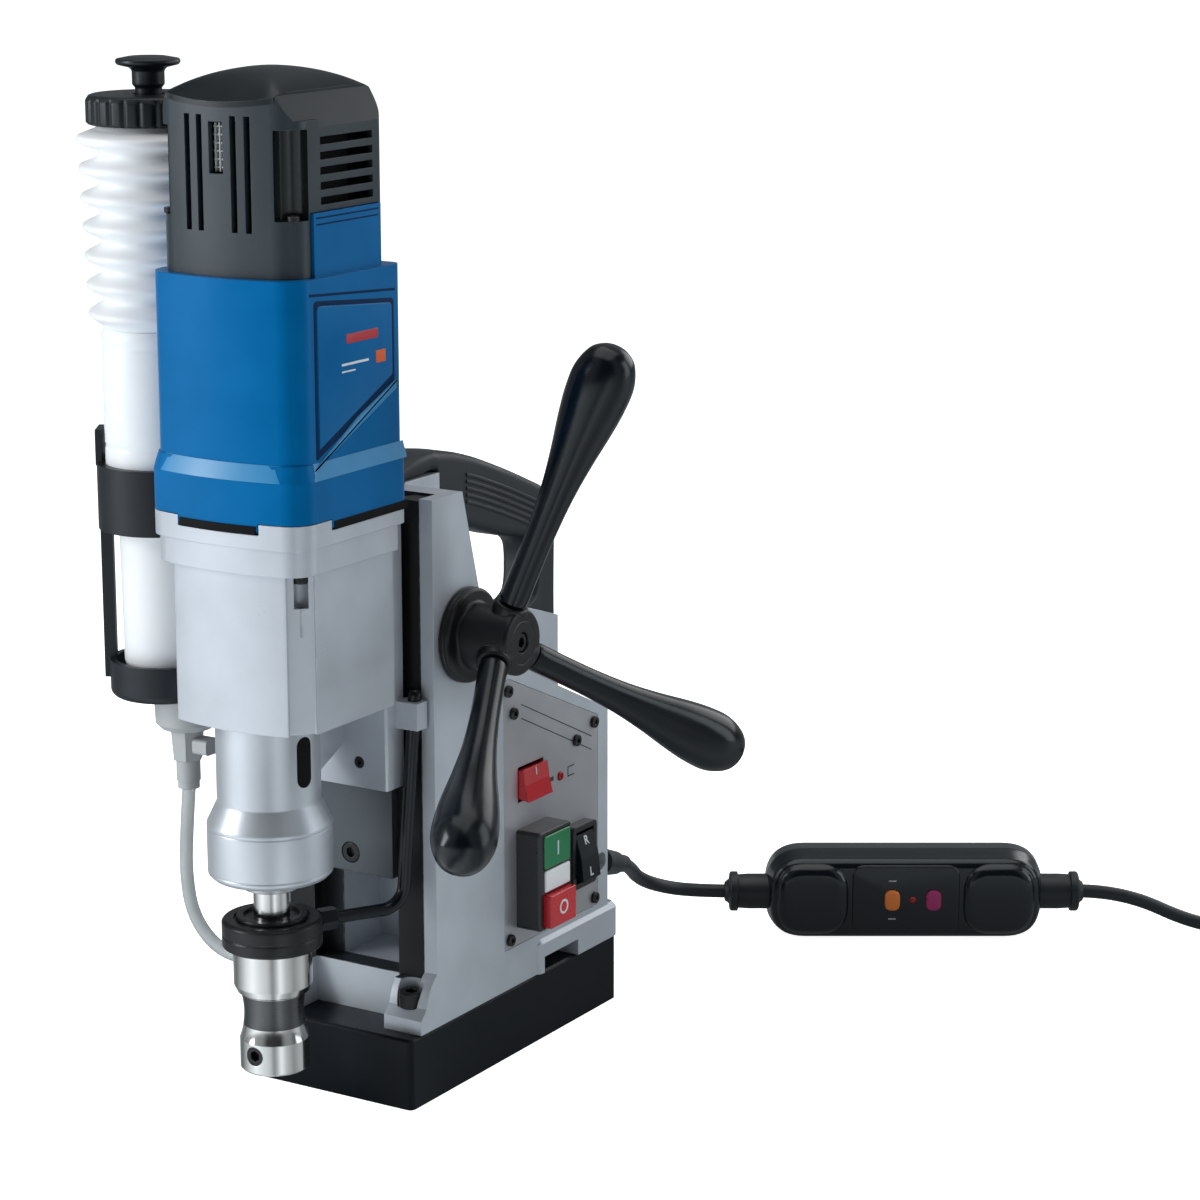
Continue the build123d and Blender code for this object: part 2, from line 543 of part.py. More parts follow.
ARMATURE_R = 21
MOTOR_WALL = 3
with BuildPart() as motor_armature:
    add(gear_sketch(Plane((0, MOTOR_Y, 278)), MOTOR_MODULE, MOTOR_TEETH, 0, motor_turn))
    extrude(amount=16)
    add(
        turned(
            (
                (0, 294), (4, 294), (4, 320), (30, 320), (30, 322), (12, 326), (5, 334), (5, 345),
                (ARMATURE_R, 345), (ARMATURE_R, 405), (12, 410), (12, 416), (5, 418), (5, 424),
                (14, 424), (14, 440), (4, 442), (4, 462), (0, 462),
            ),
            Plane((0, MOTOR_Y, 0)),
        )
    )
finish(motor_armature, "motor_armature")

with BuildPart() as motor_stator:
    with BuildSketch(Plane((0, MOTOR_Y, 346))):
        Rectangle(2 * (CASE_HALF - MOTOR_WALL - FIT), 58)
        Circle(ARMATURE_R + 0.7, mode=Mode.SUBTRACT)
    extrude(amount=58)
    fillet(motor_stator.edges().filter_by(Axis.Z).filter_by(GeomType.LINE), 8)
finish(motor_stator, "motor_stator")

with BuildPart() as tool_holder:
    with BuildSketch(Plane((0, SPINDLE_Y, 0), x_dir=(1, 0, 0), z_dir=(0, -1, 0))):
        with BuildLine():
            Polyline((HOLDER_BORE, HOLDER_BOTTOM), (16.3, HOLDER_BOTTOM), (17.3, HOLDER_BOTTOM + 1), (17.3, 46.6))
            ThreePointArc((17.3, 46.6), (14.9, 58), (16.2, 70.4))
            Polyline(
                (16.2, 70.4), (18, 71.4), (19.7, 75), (19.7, 93.2), (18.9, 94), (9, 94), (9, SPINDLE_LOW),
                (TAPER_LOW_R - FIT, SPINDLE_LOW), (TAPER_TOP_R - FIT, TAPER_TOP), (0, TAPER_TOP),
                (0, HOLDER_BOTTOM + HOLDER_BORE_DEPTH + 2), (HOLDER_BORE, HOLDER_BOTTOM + HOLDER_BORE_DEPTH),
                (HOLDER_BORE, HOLDER_BOTTOM),
            )
        make_face()
    revolve(axis=Axis((0, SPINDLE_Y, 0), (0, 0, 1)))
    for screw_dir in ((0, -1, 0), (-1, 0, 0)):
        with Locations(Plane((0, SPINDLE_Y, 40.6), z_dir=screw_dir)):
            Cylinder(4.9 + FIT, 30, align=FLOOR_ALIGN, mode=Mode.SUBTRACT)
    with Locations((0, SPINDLE_Y, 80)):
        Cylinder(2, 24, align=FLOOR_ALIGN, mode=Mode.SUBTRACT)
    with Locations(Plane((0, SPINDLE_Y, 102), z_dir=(1, 0, 0))):
        Cylinder(1.5, 20, mode=Mode.SUBTRACT)
finish(tool_holder, "tool_holder")

with BuildPart() as holder_screws:
    for screw_dir in ((0, -1, 0), (-1, 0, 0)):
        screw_start = Vector(0, SPINDLE_Y, 40.6) + Vector(*screw_dir) * 9.9
        with BuildSketch(Plane(screw_start, z_dir=screw_dir)):
            Circle(4.9)
        extrude(amount=6.6)
        with BuildSketch(Plane(screw_start + Vector(*screw_dir) * 6.6, z_dir=screw_dir)):
            RegularPolygon(2.9, 6)
        extrude(amount=-4, mode=Mode.SUBTRACT)
finish(holder_screws, "holder_screws")

# ---------------------------------------------------------------- motor casing
SIDE_PANEL_TOP = 461
SIDE_PANEL_MIDDLE, SIDE_PANEL_LENGTH = -131, 54
VENT_LOW, VENT_HIGH = 452, 506
CAP_SCREW_SEAT = 458
motor_plan = casing_outline(CASE_HALF, CASE_FRONT, CASE_BACK, CASE_BOW, CASE_CORNER)
motor_base_plan = casing_outline(46.5, -177.5, -90.5, 7, CASE_CORNER)
motor_hollow = casing_outline(
    CASE_HALF - MOTOR_WALL, CASE_FRONT + MOTOR_WALL, CASE_BACK - MOTOR_WALL, CASE_BOW, CASE_CORNER - MOTOR_WALL, 3
)
cap_plan = casing_outline(40, -171, -98, 6, 14)
cap_hollow = casing_outline(37, -168, -101, 6, 11, 3)

with BuildPart() as motor_housing:
    with BuildSketch(Plane.XY.offset(MOTOR_BOTTOM)):
        add(motor_base_plan)
    extrude(amount=24)
    with BuildSketch(Plane.XY.offset(MOTOR_BOTTOM + 24)):
        add(motor_base_plan)
    extrude(amount=8, taper=17)
    with BuildSketch(Plane.XY.offset(MOTOR_BOTTOM + 24)):
        add(motor_plan)
    extrude(amount=MOTOR_TOP - MOTOR_BOTTOM - 24)
    for side in (-1, 1):
        with BuildSketch(Plane.XY.offset(MOTOR_TOP)):
            with Locations((side * 39.5, SIDE_PANEL_MIDDLE)):
                Rectangle(4, SIDE_PANEL_LENGTH)
        extrude(amount=SIDE_PANEL_TOP - MOTOR_TOP)
    with BuildSketch(Plane.XY.offset(MOTOR_BOTTOM)):
        add(motor_hollow)
    extrude(amount=MOTOR_TOP - MOTOR_BOTTOM - MOTOR_WALL, mode=Mode.SUBTRACT)
    with BuildSketch(Plane.XY.offset(MOTOR_TOP - MOTOR_WALL)):
        add(casing_outline(34, -160, -106, 6, 10))
    extrude(amount=MOTOR_WALL, mode=Mode.SUBTRACT)
    # bosses that take the screws from the gearbox
    for side in (-1, 1):
        with BuildSketch(Plane.XY.offset(MOTOR_BOTTOM)):
            with Locations((side * CASE_SCREW_X, CASE_SCREW_Y)):
                Circle(7.5)
                Circle(2.5 + FIT, mode=Mode.SUBTRACT)
        extrude(amount=14)
    # room for the locating tabs of the flange
    for side in (-1, 1):
        with BuildSketch(Plane.XY.offset(MOTOR_BOTTOM - 1)):
            add(casing_outline(48, -179, -89, 7, CASE_CORNER))
            with Locations((side * 41, -172)):
                Rectangle(35, 35, mode=Mode.INTERSECT)
            add(casing_outline(42.4, -173.4, -95, 7, 11), mode=Mode.SUBTRACT)
        extrude(amount=5.2, mode=Mode.SUBTRACT)
finish(motor_housing, "motor_housing")

with BuildPart() as motor_cap:
    with BuildSketch(Plane.XY.offset(MOTOR_TOP)):
        add(cap_plan)
    extrude(amount=CAP_PEAK - MOTOR_TOP)
    # the top is arched across and along
    with BuildSketch(Plane.XZ.offset(SPINDLE_Y * -1)):
        with BuildLine():
            Polyline((-31, 516), (-41, 499), (-41, MOTOR_TOP), (41, MOTOR_TOP), (41, 499), (31, 516))
            ThreePointArc((31, 516), (0, CAP_PEAK), (-31, 516))
        make_face()
    extrude(amount=80, both=True, mode=Mode.INTERSECT)
    with BuildSketch(SIDE):
        with BuildLine():
            Polyline((-97, 514), (-97, MOTOR_TOP), (-180, MOTOR_TOP), (-180, 509))
            ThreePointArc((-180, 509), (-142, CAP_PEAK), (-97, 514))
        make_face()
    extrude(amount=60, both=True, mode=Mode.INTERSECT)
    with BuildSketch(Plane.XY.offset(MOTOR_TOP)):
        add(cap_hollow)
    extrude(amount=72, mode=Mode.SUBTRACT)
    # flutes above the corner bosses
    for side in (-1, 1):
        with BuildSketch(Plane.XY.offset(CAP_SCREW_SEAT)):
            with Locations((side * 39, -170)):
                Circle(11)
        extrude(amount=44, mode=Mode.SUBTRACT)
        with BuildSketch(Plane.XY.offset(MOTOR_TOP)):
            add(casing_outline(40, -171, -98, 6, 14))
            with Locations((side * 33, -164)):
                Circle(15, mode=Mode.INTERSECT)
        extrude(amount=73)
        with BuildSketch(Plane.XY.offset(CAP_SCREW_SEAT)):
            with Locations((side * 37, -168)):
                Circle(8.5)
        extrude(amount=42, mode=Mode.SUBTRACT)
        with Locations(Plane((side * 36, -166.5, CAP_SCREW_SEAT))):
            Cylinder(1.5 + FIT, 21, mode=Mode.SUBTRACT)
        with BuildSketch(Plane.XY.offset(MOTOR_TOP)):
            with Locations((side * 39.4, SIDE_PANEL_MIDDLE)):
                Rectangle(4.4, SIDE_PANEL_LENGTH + 0.6)
        extrude(amount=SIDE_PANEL_TOP - MOTOR_TOP + 0.3, mode=Mode.SUBTRACT)
        with BuildSketch(SIDE.offset(side * 38.5)):
            for vent in range(5):
                with Locations((SIDE_PANEL_MIDDLE + 2, 466 + vent * 7)):
                    Rectangle(SIDE_PANEL_LENGTH - 12, 3.6)
        extrude(amount=5, both=True, mode=Mode.SUBTRACT)
    with BuildSketch(Plane.XZ.offset(170)):
        with Locations((-17.4, 479), (-9.8, 479), (9.8, 479), (17.4, 479)):
            Rectangle(3.2, VENT_HIGH - VENT_LOW)
        with Locations((0, 491)):
            Rectangle(8, 24)
    extrude(amount=12, both=True, mode=Mode.SUBTRACT)
finish(motor_cap, "motor_cap")

with BuildPart() as carriage_screws:
    add(
        Plane((0, BRACKET_BACK + 4, SLIDE_BOTTOM + 10), z_dir=(0, -1, 0)).location
        * socket_screw(5.6, 4, 3, 5, 2.9)
    )
    for side in (-1, 1):
        add(
            Plane((side * 17, BRACKET_FRONT + 2.5, 178), z_dir=(0, -1, 0)).location
            * socket_screw(3.1, 2.5, 1.6, 9, 1.5)
        )
        add(
            Plane((side * CASE_SCREW_X, CASE_SCREW_Y, CASE_SCREW_SEAT)).location
            * Rot(180, 0, 0) * socket_screw(4, 4, 2.5, 34, 2)
        )
        add(Plane((side * 36, -166.5, CAP_SCREW_SEAT)).location * socket_screw(3, 2.5, 1.5, 10, 1.6))
finish(carriage_screws, "carriage_screws")

# ---------------------------------------------------------------- coolant set
BELLOWS_LOW, BELLOWS_HIGH, BULGES = 394, 494, 7
BOTTLE_R, BOTTLE_FOOT_R = 27, 20.5

with BuildPart() as coolant_bottle:
    add(
        turned(
            (
                (0, 219.2), (18.5, 219.2), (BOTTLE_FOOT_R, 224), (21.3, 290), (BOTTLE_R, 302), (BOTTLE_R, 392),
                (25.3, BELLOWS_LOW), (23.3, BELLOWS_LOW), (25, 391), (25, 303), (19.4, 291), (18.6, 224),
                (17, 221.2), (0, 221.2),
            ),
            BOTTLE,
        )
    )
finish(coolant_bottle, "coolant_bottle")

bulge_pitch = (BELLOWS_HIGH - BELLOWS_LOW) / BULGES
bellows_outside = [(24.5, BELLOWS_LOW)]
for bulge in range(BULGES):
    bulge_low = BELLOWS_LOW + bulge * bulge_pitch
    bulge_r = 33 + 0.5 * bulge
    bellows_outside += [
        (25.6, bulge_low + 1), (bulge_r - 2, bulge_low + 0.36 * bulge_pitch),
        (bulge_r, bulge_low + 0.5 * bulge_pitch), (bulge_r - 2, bulge_low + 0.64 * bulge_pitch),
        (25.6, bulge_low + bulge_pitch - 1),
    ]
bellows_outside.append((24.5, BELLOWS_HIGH))
bellows_inside = [(radius - 1.6, height) for radius, height in reversed(bellows_outside)]
with BuildPart() as coolant_bellows:
    add(turned(bellows_outside + bellows_inside, BOTTLE))
finish(coolant_bellows, "coolant_bellows")

CAP_LOW, CAP_HIGH, CAP_R = 494, 507, 31
with BuildPart() as bottle_cap:
    with BuildSketch(Plane((BOTTLE_X, BOTTLE_Y, CAP_LOW))):
        Circle(CAP_R)
        with PolarLocations(CAP_R + 0.6, 24):
            Circle(1.6, mode=Mode.SUBTRACT)
    extrude(amount=CAP_HIGH - CAP_LOW)
    with BuildSketch(Plane((BOTTLE_X, BOTTLE_Y, CAP_HIGH))):
        Circle(CAP_R - 2)
    extrude(amount=1.5, taper=40)
    with BuildSketch(Plane((BOTTLE_X, BOTTLE_Y, CAP_LOW))):
        Circle(8.4)
    extrude(amount=CAP_HIGH - CAP_LOW + 2, mode=Mode.SUBTRACT)
finish(bottle_cap, "bottle_cap")

with BuildPart() as plunger_knob:
    add(
        turned(
            (
                (0, 470), (6.6, 470), (6.6, 512), (8, 514), (8, 522), (15.4, 523), (16, 524.4), (15, 525.8), (9, 526.8),
                (0, 527),
            ),
            BOTTLE,
        )
    )
finish(plunger_knob, "plunger_knob")

BAND_R, BAND_IN = 31.4, BOTTLE_R + 0.3
BAR_TURN = 211.4  # direction of the bracket's outer bar about the bottle
with BuildPart() as bottle_bracket:
    with BuildSketch(Plane((BOTTLE_X, BOTTLE_Y, 293))):
        Circle(BAND_R)
    extrude(amount=33)
    with BuildSketch(Plane((BOTTLE_X, BOTTLE_Y, 206))):
        Circle(28)
    extrude(amount=19)
    fillet(bottle_bracket.edges().group_by(Axis.Z)[0], 4)
    bar_centre = Plane((BOTTLE_X, BOTTLE_Y, 215)).location * Rot(0, 0, BAR_TURN)
    with BuildSketch(Plane(bar_centre)):
        with Locations((27.5, 0)):
            Rectangle(6, 6)
    extrude(amount=85)
    with BuildSketch(Plane(bar_centre).offset(110)):
        with Locations((29.4, 0)):
            Rectangle(3.2, 16)
    extrude(amount=18)
    # arms that screw to the gearbox
    for arm_low, arm_high, arm_end in ((294, 303, -45.1), (213, 219, -42.1)):
        with BuildSketch(Plane.XY.offset(arm_low)):
            with Locations(((BOTTLE_X + arm_end) / 2, BOTTLE_Y + 2)):
                Rectangle(arm_end - BOTTLE_X, 18)
        extrude(amount=arm_high - arm_low)
    with Locations(BOTTLE):
        with Locations((0, 0, 290)):
            Cylinder(BAND_IN, 60, align=FLOOR_ALIGN, mode=Mode.SUBTRACT)
        with Locations((0, 0, 219)):
            Cylinder(BOTTLE_FOOT_R + 1.6, 72, align=FLOOR_ALIGN, mode=Mode.SUBTRACT)
        with Locations((0, 0, 219)):
            Cylinder(25, 8, align=FLOOR_ALIGN, mode=Mode.SUBTRACT)
finish(bottle_bracket, "bottle_bracket")

CUP_X, CUP_Y = -76, -114.8
OUTLET = Plane((CUP_X, CUP_Y, 0))
with BuildPart() as outlet_cup:
    add(turned(((0, 188), (13, 188), (16, 191), (16.6, 205.9), (0, 205.9)), OUTLET))
finish(outlet_cup, "outlet_cup")

HOSE_TOP = 156
with BuildPart() as outlet_fitting:
    with BuildSketch(Plane((CUP_X, CUP_Y, 188))):
        RegularPolygon(9.2, 6)
    extrude(amount=-17, taper=4)
    with BuildSketch(Plane((CUP_X, CUP_Y, 171))):
        Circle(6.2)
    extrude(amount=-11)
    with BuildSketch(Plane((CUP_X, CUP_Y, 160))):
        Circle(5.6)
    extrude(amount=HOSE_TOP - 160)
    with BuildSketch(Plane((CUP_X + 7, CUP_Y, 179.5), z_dir=(1, 0, 0))):
        RectangleRounded(8, 11, 2)
    extrude(amount=9)
finish(outlet_fitting, "outlet_fitting")


def corner_radii(points):
    """Largest tangent arc for each corner of a route: 0.45 of the shorter run over tan(half the turn)."""
    stops = [Vector(*point) for point in points]
    radii = []
    for before, corner, after in zip(stops, stops[1:], stops[2:]):
        run_in, run_out = corner - before, after - corner
        half_turn = radians(run_in.get_angle(run_out)) / 2
        radii.append(0.45 * min(run_in.length, run_out.length) / tan(half_turn))
    return radii


def start_plane(points):
    """Plane across the first run of a route."""
    return Plane(points[0], z_dir=Vector(*points[1]) - Vector(*points[0]))


def print_tube(name, piece, length, diameter, radii):
    """Print a cord tube's length, its volume against section times length, and its arc radii."""
    ratio = piece.part.volume / (pi * diameter**2 / 4 * length)
    print(name, "length", round(length, 1), "volume ratio", round(ratio, 4))
    print("   radii in diameters", [round(radius / diameter, 1) for radius in radii])


HOSE_D = 7
HOSE_ROUTE = (
    (CUP_X, CUP_Y, HOSE_TOP), (-78, -115.2, 133), (-79, -115.6, 110), (-75, -116.2, 88), (-60, -117, 73),
    (-40, -117.5, 70), (-22, -117.6, 80), (-10, -117.6, 93.5),
)
with BuildPart() as coolant_hose:
    with BuildLine() as hose_line:
        FilletPolyline(*HOSE_ROUTE, radius=corner_radii(HOSE_ROUTE))
    with BuildSketch(start_plane(HOSE_ROUTE)):
        Circle(HOSE_D / 2)
    sweep()
finish(coolant_hose, "coolant_hose")
print_tube("coolant_hose", coolant_hose, hose_line.wires()[0].length, HOSE_D, corner_radii(HOSE_ROUTE))

RING_LOW = 94.3
with BuildPart() as coolant_ring:
    add(
        turned(
            (
                (9 + RUN, RING_LOW), (24, RING_LOW), (25, RING_LOW + 1), (25, 107.6), (23.6, 109), (19, 109),
                (19, 107.8), (17.6, 107.8), (17.6, 110.6), (14, 110.6), (14, 109.2), (9 + RUN, 109.2), (9 + RUN, 104),
                (12, 104), (12, 100), (9 + RUN, 100),
            ),
            SPINDLE,
        )
    )
    nipple_end = Vector(*HOSE_ROUTE[-1])
    nipple_dir = (nipple_end - Vector(*HOSE_ROUTE[-2])).normalized()
    with BuildSketch(Plane(nipple_end, z_dir=nipple_dir)):
        Circle(3.4)
    extrude(amount=12)
    with Locations((0, -119.5, 104)):
        Box(9, 9, 8)
finish(coolant_ring, "coolant_ring")

with BuildPart() as ring_rod:
    with BuildLine():
        FilletPolyline(rod_start, rod_corner, ROD_TOP, radius=12)
    with BuildSketch(Plane(rod_start, z_dir=rod_dir)):
        Circle(ROD_R)
    sweep()
    with Locations(ROD_TOP):
        Sphere(ROD_R)
    with BuildSketch(Plane(Vector(0, SPINDLE_Y, 103) + rod_dir * (25 + FIT), z_dir=rod_dir)):
        RegularPolygon(6, 6)
    extrude(amount=9)
    with Locations(SPINDLE):
        Cylinder(25 + FIT, 300, align=FLOOR_ALIGN, mode=Mode.SUBTRACT)
finish(ring_rod, "ring_rod")

# ---------------------------------------------------------------- control panel
PANEL_FACE = STAND_X
SWITCH_Y, SWITCH_Z, SWITCH_W, SWITCH_H, SWITCH_DEPTH = 14.3, 96, 31.4, 54, 14.5
BUTTON_W = 25
ROCKER_Y, ROCKER_Z, ROCKER_W, ROCKER_H = 13, 147, 28, 22
TURN_Y, TURN_Z, TURN_W, TURN_H = 57, 95, 24, 35
LAMP_Y, LAMP_Z = 42, 142
PANEL_SCREWS = ((-9, 200), (-4, 187), (76, 164), (58, 158), (76.5, 64.5), (-8, 64.5))
PANEL = Plane((PANEL_FACE, 0, 0), x_dir=(0, 1, 0), z_dir=(1, 0, 0))
BUTTON_TRAVEL = 2.5

with BuildPart() as control_panel:
    with BuildSketch(PANEL):
        with BuildLine():
            Polyline(
                (-12.7, 59.8), (80.4, 59.8), (80.4, 166.9), (-7.1, 205.7), (-12.7, 205.7), close=True,
            )
        make_face()
        with Locations((SWITCH_Y, SWITCH_Z)):
            Rectangle(BUTTON_W - 2, SWITCH_H - 8, mode=Mode.SUBTRACT)
        with Locations((ROCKER_Y, ROCKER_Z)):
            Rectangle(ROCKER_W - 3, ROCKER_H - 3, mode=Mode.SUBTRACT)
        with Locations((TURN_Y, TURN_Z)):
            Rectangle(TURN_W - 6, TURN_H - 6, mode=Mode.SUBTRACT)
        with Locations((LAMP_Y, LAMP_Z)):
            Circle(2.5 + FIT, mode=Mode.SUBTRACT)
        with Locations(*PANEL_SCREWS):
            Circle(1.5 + FIT, mode=Mode.SUBTRACT)
    extrude(amount=-PANEL_T)
finish(control_panel, "control_panel")

with BuildPart() as panel_screws:
    for screw_spot in PANEL_SCREWS:
        add(PANEL.location * Pos(*screw_spot, 0) * socket_screw(3.2, 2, 1.5, PANEL_T - 0.1, 1.6))
finish(panel_screws, "panel_screws")

with BuildPart() as switch_housing:
    with BuildSketch(PANEL):
        with Locations((SWITCH_Y, SWITCH_Z)):
            RectangleRounded(SWITCH_W, SWITCH_H, 2)
    extrude(amount=SWITCH_DEPTH)
    fillet(switch_housing.edges().group_by(Axis.X)[-1], 1.2)
    with BuildSketch(PANEL.offset(SWITCH_DEPTH)):
        with Locations((SWITCH_Y + 1, SWITCH_Z + 15.5), (SWITCH_Y + 1, SWITCH_Z - 16.5)):
            Rectangle(BUTTON_W + 0.8, 18.8)
    extrude(amount=-SWITCH_DEPTH, mode=Mode.SUBTRACT)
finish(switch_housing, "switch_housing")

for button_name, button_z, button_out in (("start_button", 15.5, 1), ("stop_button", -16.5, 4.5)):
    with BuildPart() as push_button:
        with BuildSketch(PANEL.offset(4)):
            with Locations((SWITCH_Y + 1, SWITCH_Z + button_z)):
                RectangleRounded(BUTTON_W, 18, 1)
        extrude(amount=SWITCH_DEPTH - 4 + button_out)
        fillet(push_button.edges().group_by(Axis.X)[-1], 0.8)
    finish(push_button, button_name)

# magnet switch: a rocker that tips about an axis along Y
MAGNET_PIVOT_X = PANEL_FACE - 1
with BuildPart() as magnet_rocker:
    with BuildSketch(Plane((MAGNET_PIVOT_X, 0, 0), x_dir=(1, 0, 0), z_dir=(0, 1, 0)).offset(ROCKER_Y - 11.8)):
        with BuildLine():
            Polyline(
                (-2, ROCKER_Z * -1 - 7), (4.2, -ROCKER_Z - 8.6), (5.2, -ROCKER_Z), (7.4, -ROCKER_Z + 8.6),
                (-2, -ROCKER_Z + 7), close=True,
            )
        make_face()
    extrude(amount=23.6)
finish(magnet_rocker, "magnet_rocker")

with BuildPart() as direction_bezel:
    with BuildSketch(PANEL):
        with Locations((TURN_Y, TURN_Z)):
            RectangleRounded(TURN_W, TURN_H, 3)
            Rectangle(TURN_W - 6, TURN_H - 6, mode=Mode.SUBTRACT)
    extrude(amount=6.5)
finish(direction_bezel, "direction_bezel")

TURN_PIVOT_X = PANEL_FACE + 3
with BuildPart() as direction_rocker:
    with BuildSketch(Plane((TURN_PIVOT_X, 0, 0), x_dir=(1, 0, 0), z_dir=(0, 1, 0)).offset(TURN_Y - 8.6)):
        with BuildLine():
            Polyline(
                (-4, -TURN_Z - 10), (3, -TURN_Z - 12.6), (6.6, -TURN_Z), (8, -TURN_Z + 12.6), (-4, -TURN_Z + 10),
                close=True,
            )
        make_face()
    extrude(amount=17.2)
finish(direction_rocker, "direction_rocker")

with BuildPart() as magnet_lamp:
    with BuildSketch(PANEL.offset(-PANEL_T - 4)):
        with Locations((LAMP_Y, LAMP_Z)):
            Circle(2.5)
    extrude(amount=PANEL_T + 5.2)
    fillet(magnet_lamp.edges().group_by(Axis.X)[-1], 1)
finish(magnet_lamp, "magnet_lamp")

with BuildPart() as control_board:
    with BuildSketch(SIDE.offset(10)):
        with Locations((36, 111)):
            Rectangle(66, 90)
    extrude(amount=1.6)
    with BuildSketch(SIDE.offset(11.6)):
        with Locations((16, 90), (16, 130), (50, 80), (52, 130)):
            Rectangle(14, 20)
    extrude(amount=12)
    # stand-offs down to the far wall of the hollow
    with BuildSketch(SIDE.offset(-CAVITY_X)):
        with Locations((36, 111)):
            with GridLocations(56, 80, 2, 2):
                Circle(2.5)
    extrude(amount=CAVITY_X + 10)
finish(control_board, "control_board")

# ---------------------------------------------------------------- carry handle
GRIP_X = 12
with BuildPart() as carry_handle:
    with BuildSketch(SIDE.offset(-GRIP_X)):
        with BuildLine():
            Polyline((-13.9, COLUMN_TOP - 20), (-13.9, COLUMN_TOP + 0.1), (-50, COLUMN_TOP + 0.1), (-50, 317))
            Spline((-50, 317), (-28, 323), (0, 320.5), (36, 309.5), (70, 296), (90, 287), (SPINE_BACK, 270))
            Polyline((SPINE_BACK, 270), (SPINE_BACK, 214.1), (67, 225.1))
            Spline((67, 225.1), (78, 229), (80.5, 245), (80.5, 252), (72, 261), (45, 268), (8, 280), (-12.9, 289))
            Line((-12.9, 289), (-13.9, COLUMN_TOP - 20))
        make_face()
    extrude(amount=2 * GRIP_X)
finish(carry_handle, "carry_handle")

# ---------------------------------------------------------------- cords
LEAD_START = (31.2, 138.7, 63.9)
GLAND_ROOT = (44, HOUSING_BACK, 80)
gland_run = Vector(*LEAD_START) - Vector(*GLAND_ROOT)
with BuildPart() as cable_gland:
    with BuildLine():
        Line(GLAND_ROOT, LEAD_START)
    for share, radius in ((0, 8), (0.62, 6.6), (0.72, 5.4), (1, 4.9)):
        with BuildSketch(Plane(Vector(*GLAND_ROOT) + gland_run * share, z_dir=gland_run)):
            Circle(radius)
    loft(ruled=True)
    with Locations((44, HOUSING_BACK - 20, 80)):
        Box(30, 40, 30, mode=Mode.SUBTRACT)
finish(cable_gland, "cable_gland")


def by_box(along, away, height):
    """World point from distances along and behind the in-line box, and its height."""
    turn = radians(BOX_TURN)
    return (
        BOX_X + along * cos(turn) - away * sin(turn),
        BOX_Y + along * sin(turn) + away * cos(turn),
        height,
    )


BOX_HALF, BOX_HEIGHT, BOX_MIDDLE = 81, 52, 26
BOX_RELIEF = 24
BOX_END = BOX_HALF + BOX_RELIEF
LEAD_ROUTE = (
    LEAD_START, (22.3, 160.2, 54.9), (16.3, 180.8, 40.8), (20.6, 199.9, 31.5), (31.7, 215.4, 26.6),
    by_box(-BOX_END, 0, BOX_MIDDLE),
)
with BuildPart() as machine_lead:
    with BuildLine() as lead_line:
        FilletPolyline(*LEAD_ROUTE, radius=corner_radii(LEAD_ROUTE))
    with BuildSketch(start_plane(LEAD_ROUTE)):
        Circle(CORD_D / 2)
    sweep()
finish(machine_lead, "machine_lead")
print_tube("machine_lead", machine_lead, lead_line.wires()[0].length, CORD_D, corner_radii(LEAD_ROUTE))

COIL_ALONG, COIL_AWAY, COIL_R, COIL_TOP_Z = 247, 50, 54, 25
FLOOR_Z = 4.3
SUPPLY_ROUTE = (
    by_box(BOX_END, 0, BOX_MIDDLE), by_box(129.5, 0, 25.4), by_box(172, 1.5, 5), by_box(199, -2, FLOOR_Z),
    by_box(226, 0, FLOOR_Z),
)
COIL_TURN_R = COIL_R - CORD_D / 2
LAST_TURN_Z = 20.4
COIL_LEAVE, PLUG_START = 22, 38  # distances along the tangent on which the cord leaves the coil
coil_exit = Plane(
    by_box(COIL_ALONG + COIL_TURN_R, COIL_AWAY, LAST_TURN_Z),
    z_dir=(-sin(radians(BOX_TURN)), cos(radians(BOX_TURN)), 0),
)
with BuildPart() as supply_lead:
    with BuildLine() as supply_line:
        FilletPolyline(*SUPPLY_ROUTE, radius=corner_radii(SUPPLY_ROUTE))
    with BuildSketch(start_plane(SUPPLY_ROUTE)):
        Circle(CORD_D / 2)
    sweep()
    # the far end leaves the coil's last turn straight into the plug
    with BuildSketch(coil_exit.offset(COIL_LEAVE)):
        Circle(CORD_D / 2)
    extrude(amount=PLUG_START - COIL_LEAVE)
finish(supply_lead, "supply_lead")
supply_length = supply_line.wires()[0].length + PLUG_START - COIL_LEAVE
print_tube("supply_lead", supply_lead, supply_length, CORD_D, corner_radii(SUPPLY_ROUTE))

with BuildPart() as cord_coil:
    with BuildSketch(Plane(by_box(COIL_ALONG, COIL_AWAY, 0.2))):
        Circle(COIL_R)
        Circle(COIL_R - 25, mode=Mode.SUBTRACT)
    extrude(amount=COIL_TOP_Z)
finish(cord_coil, "cord_coil")

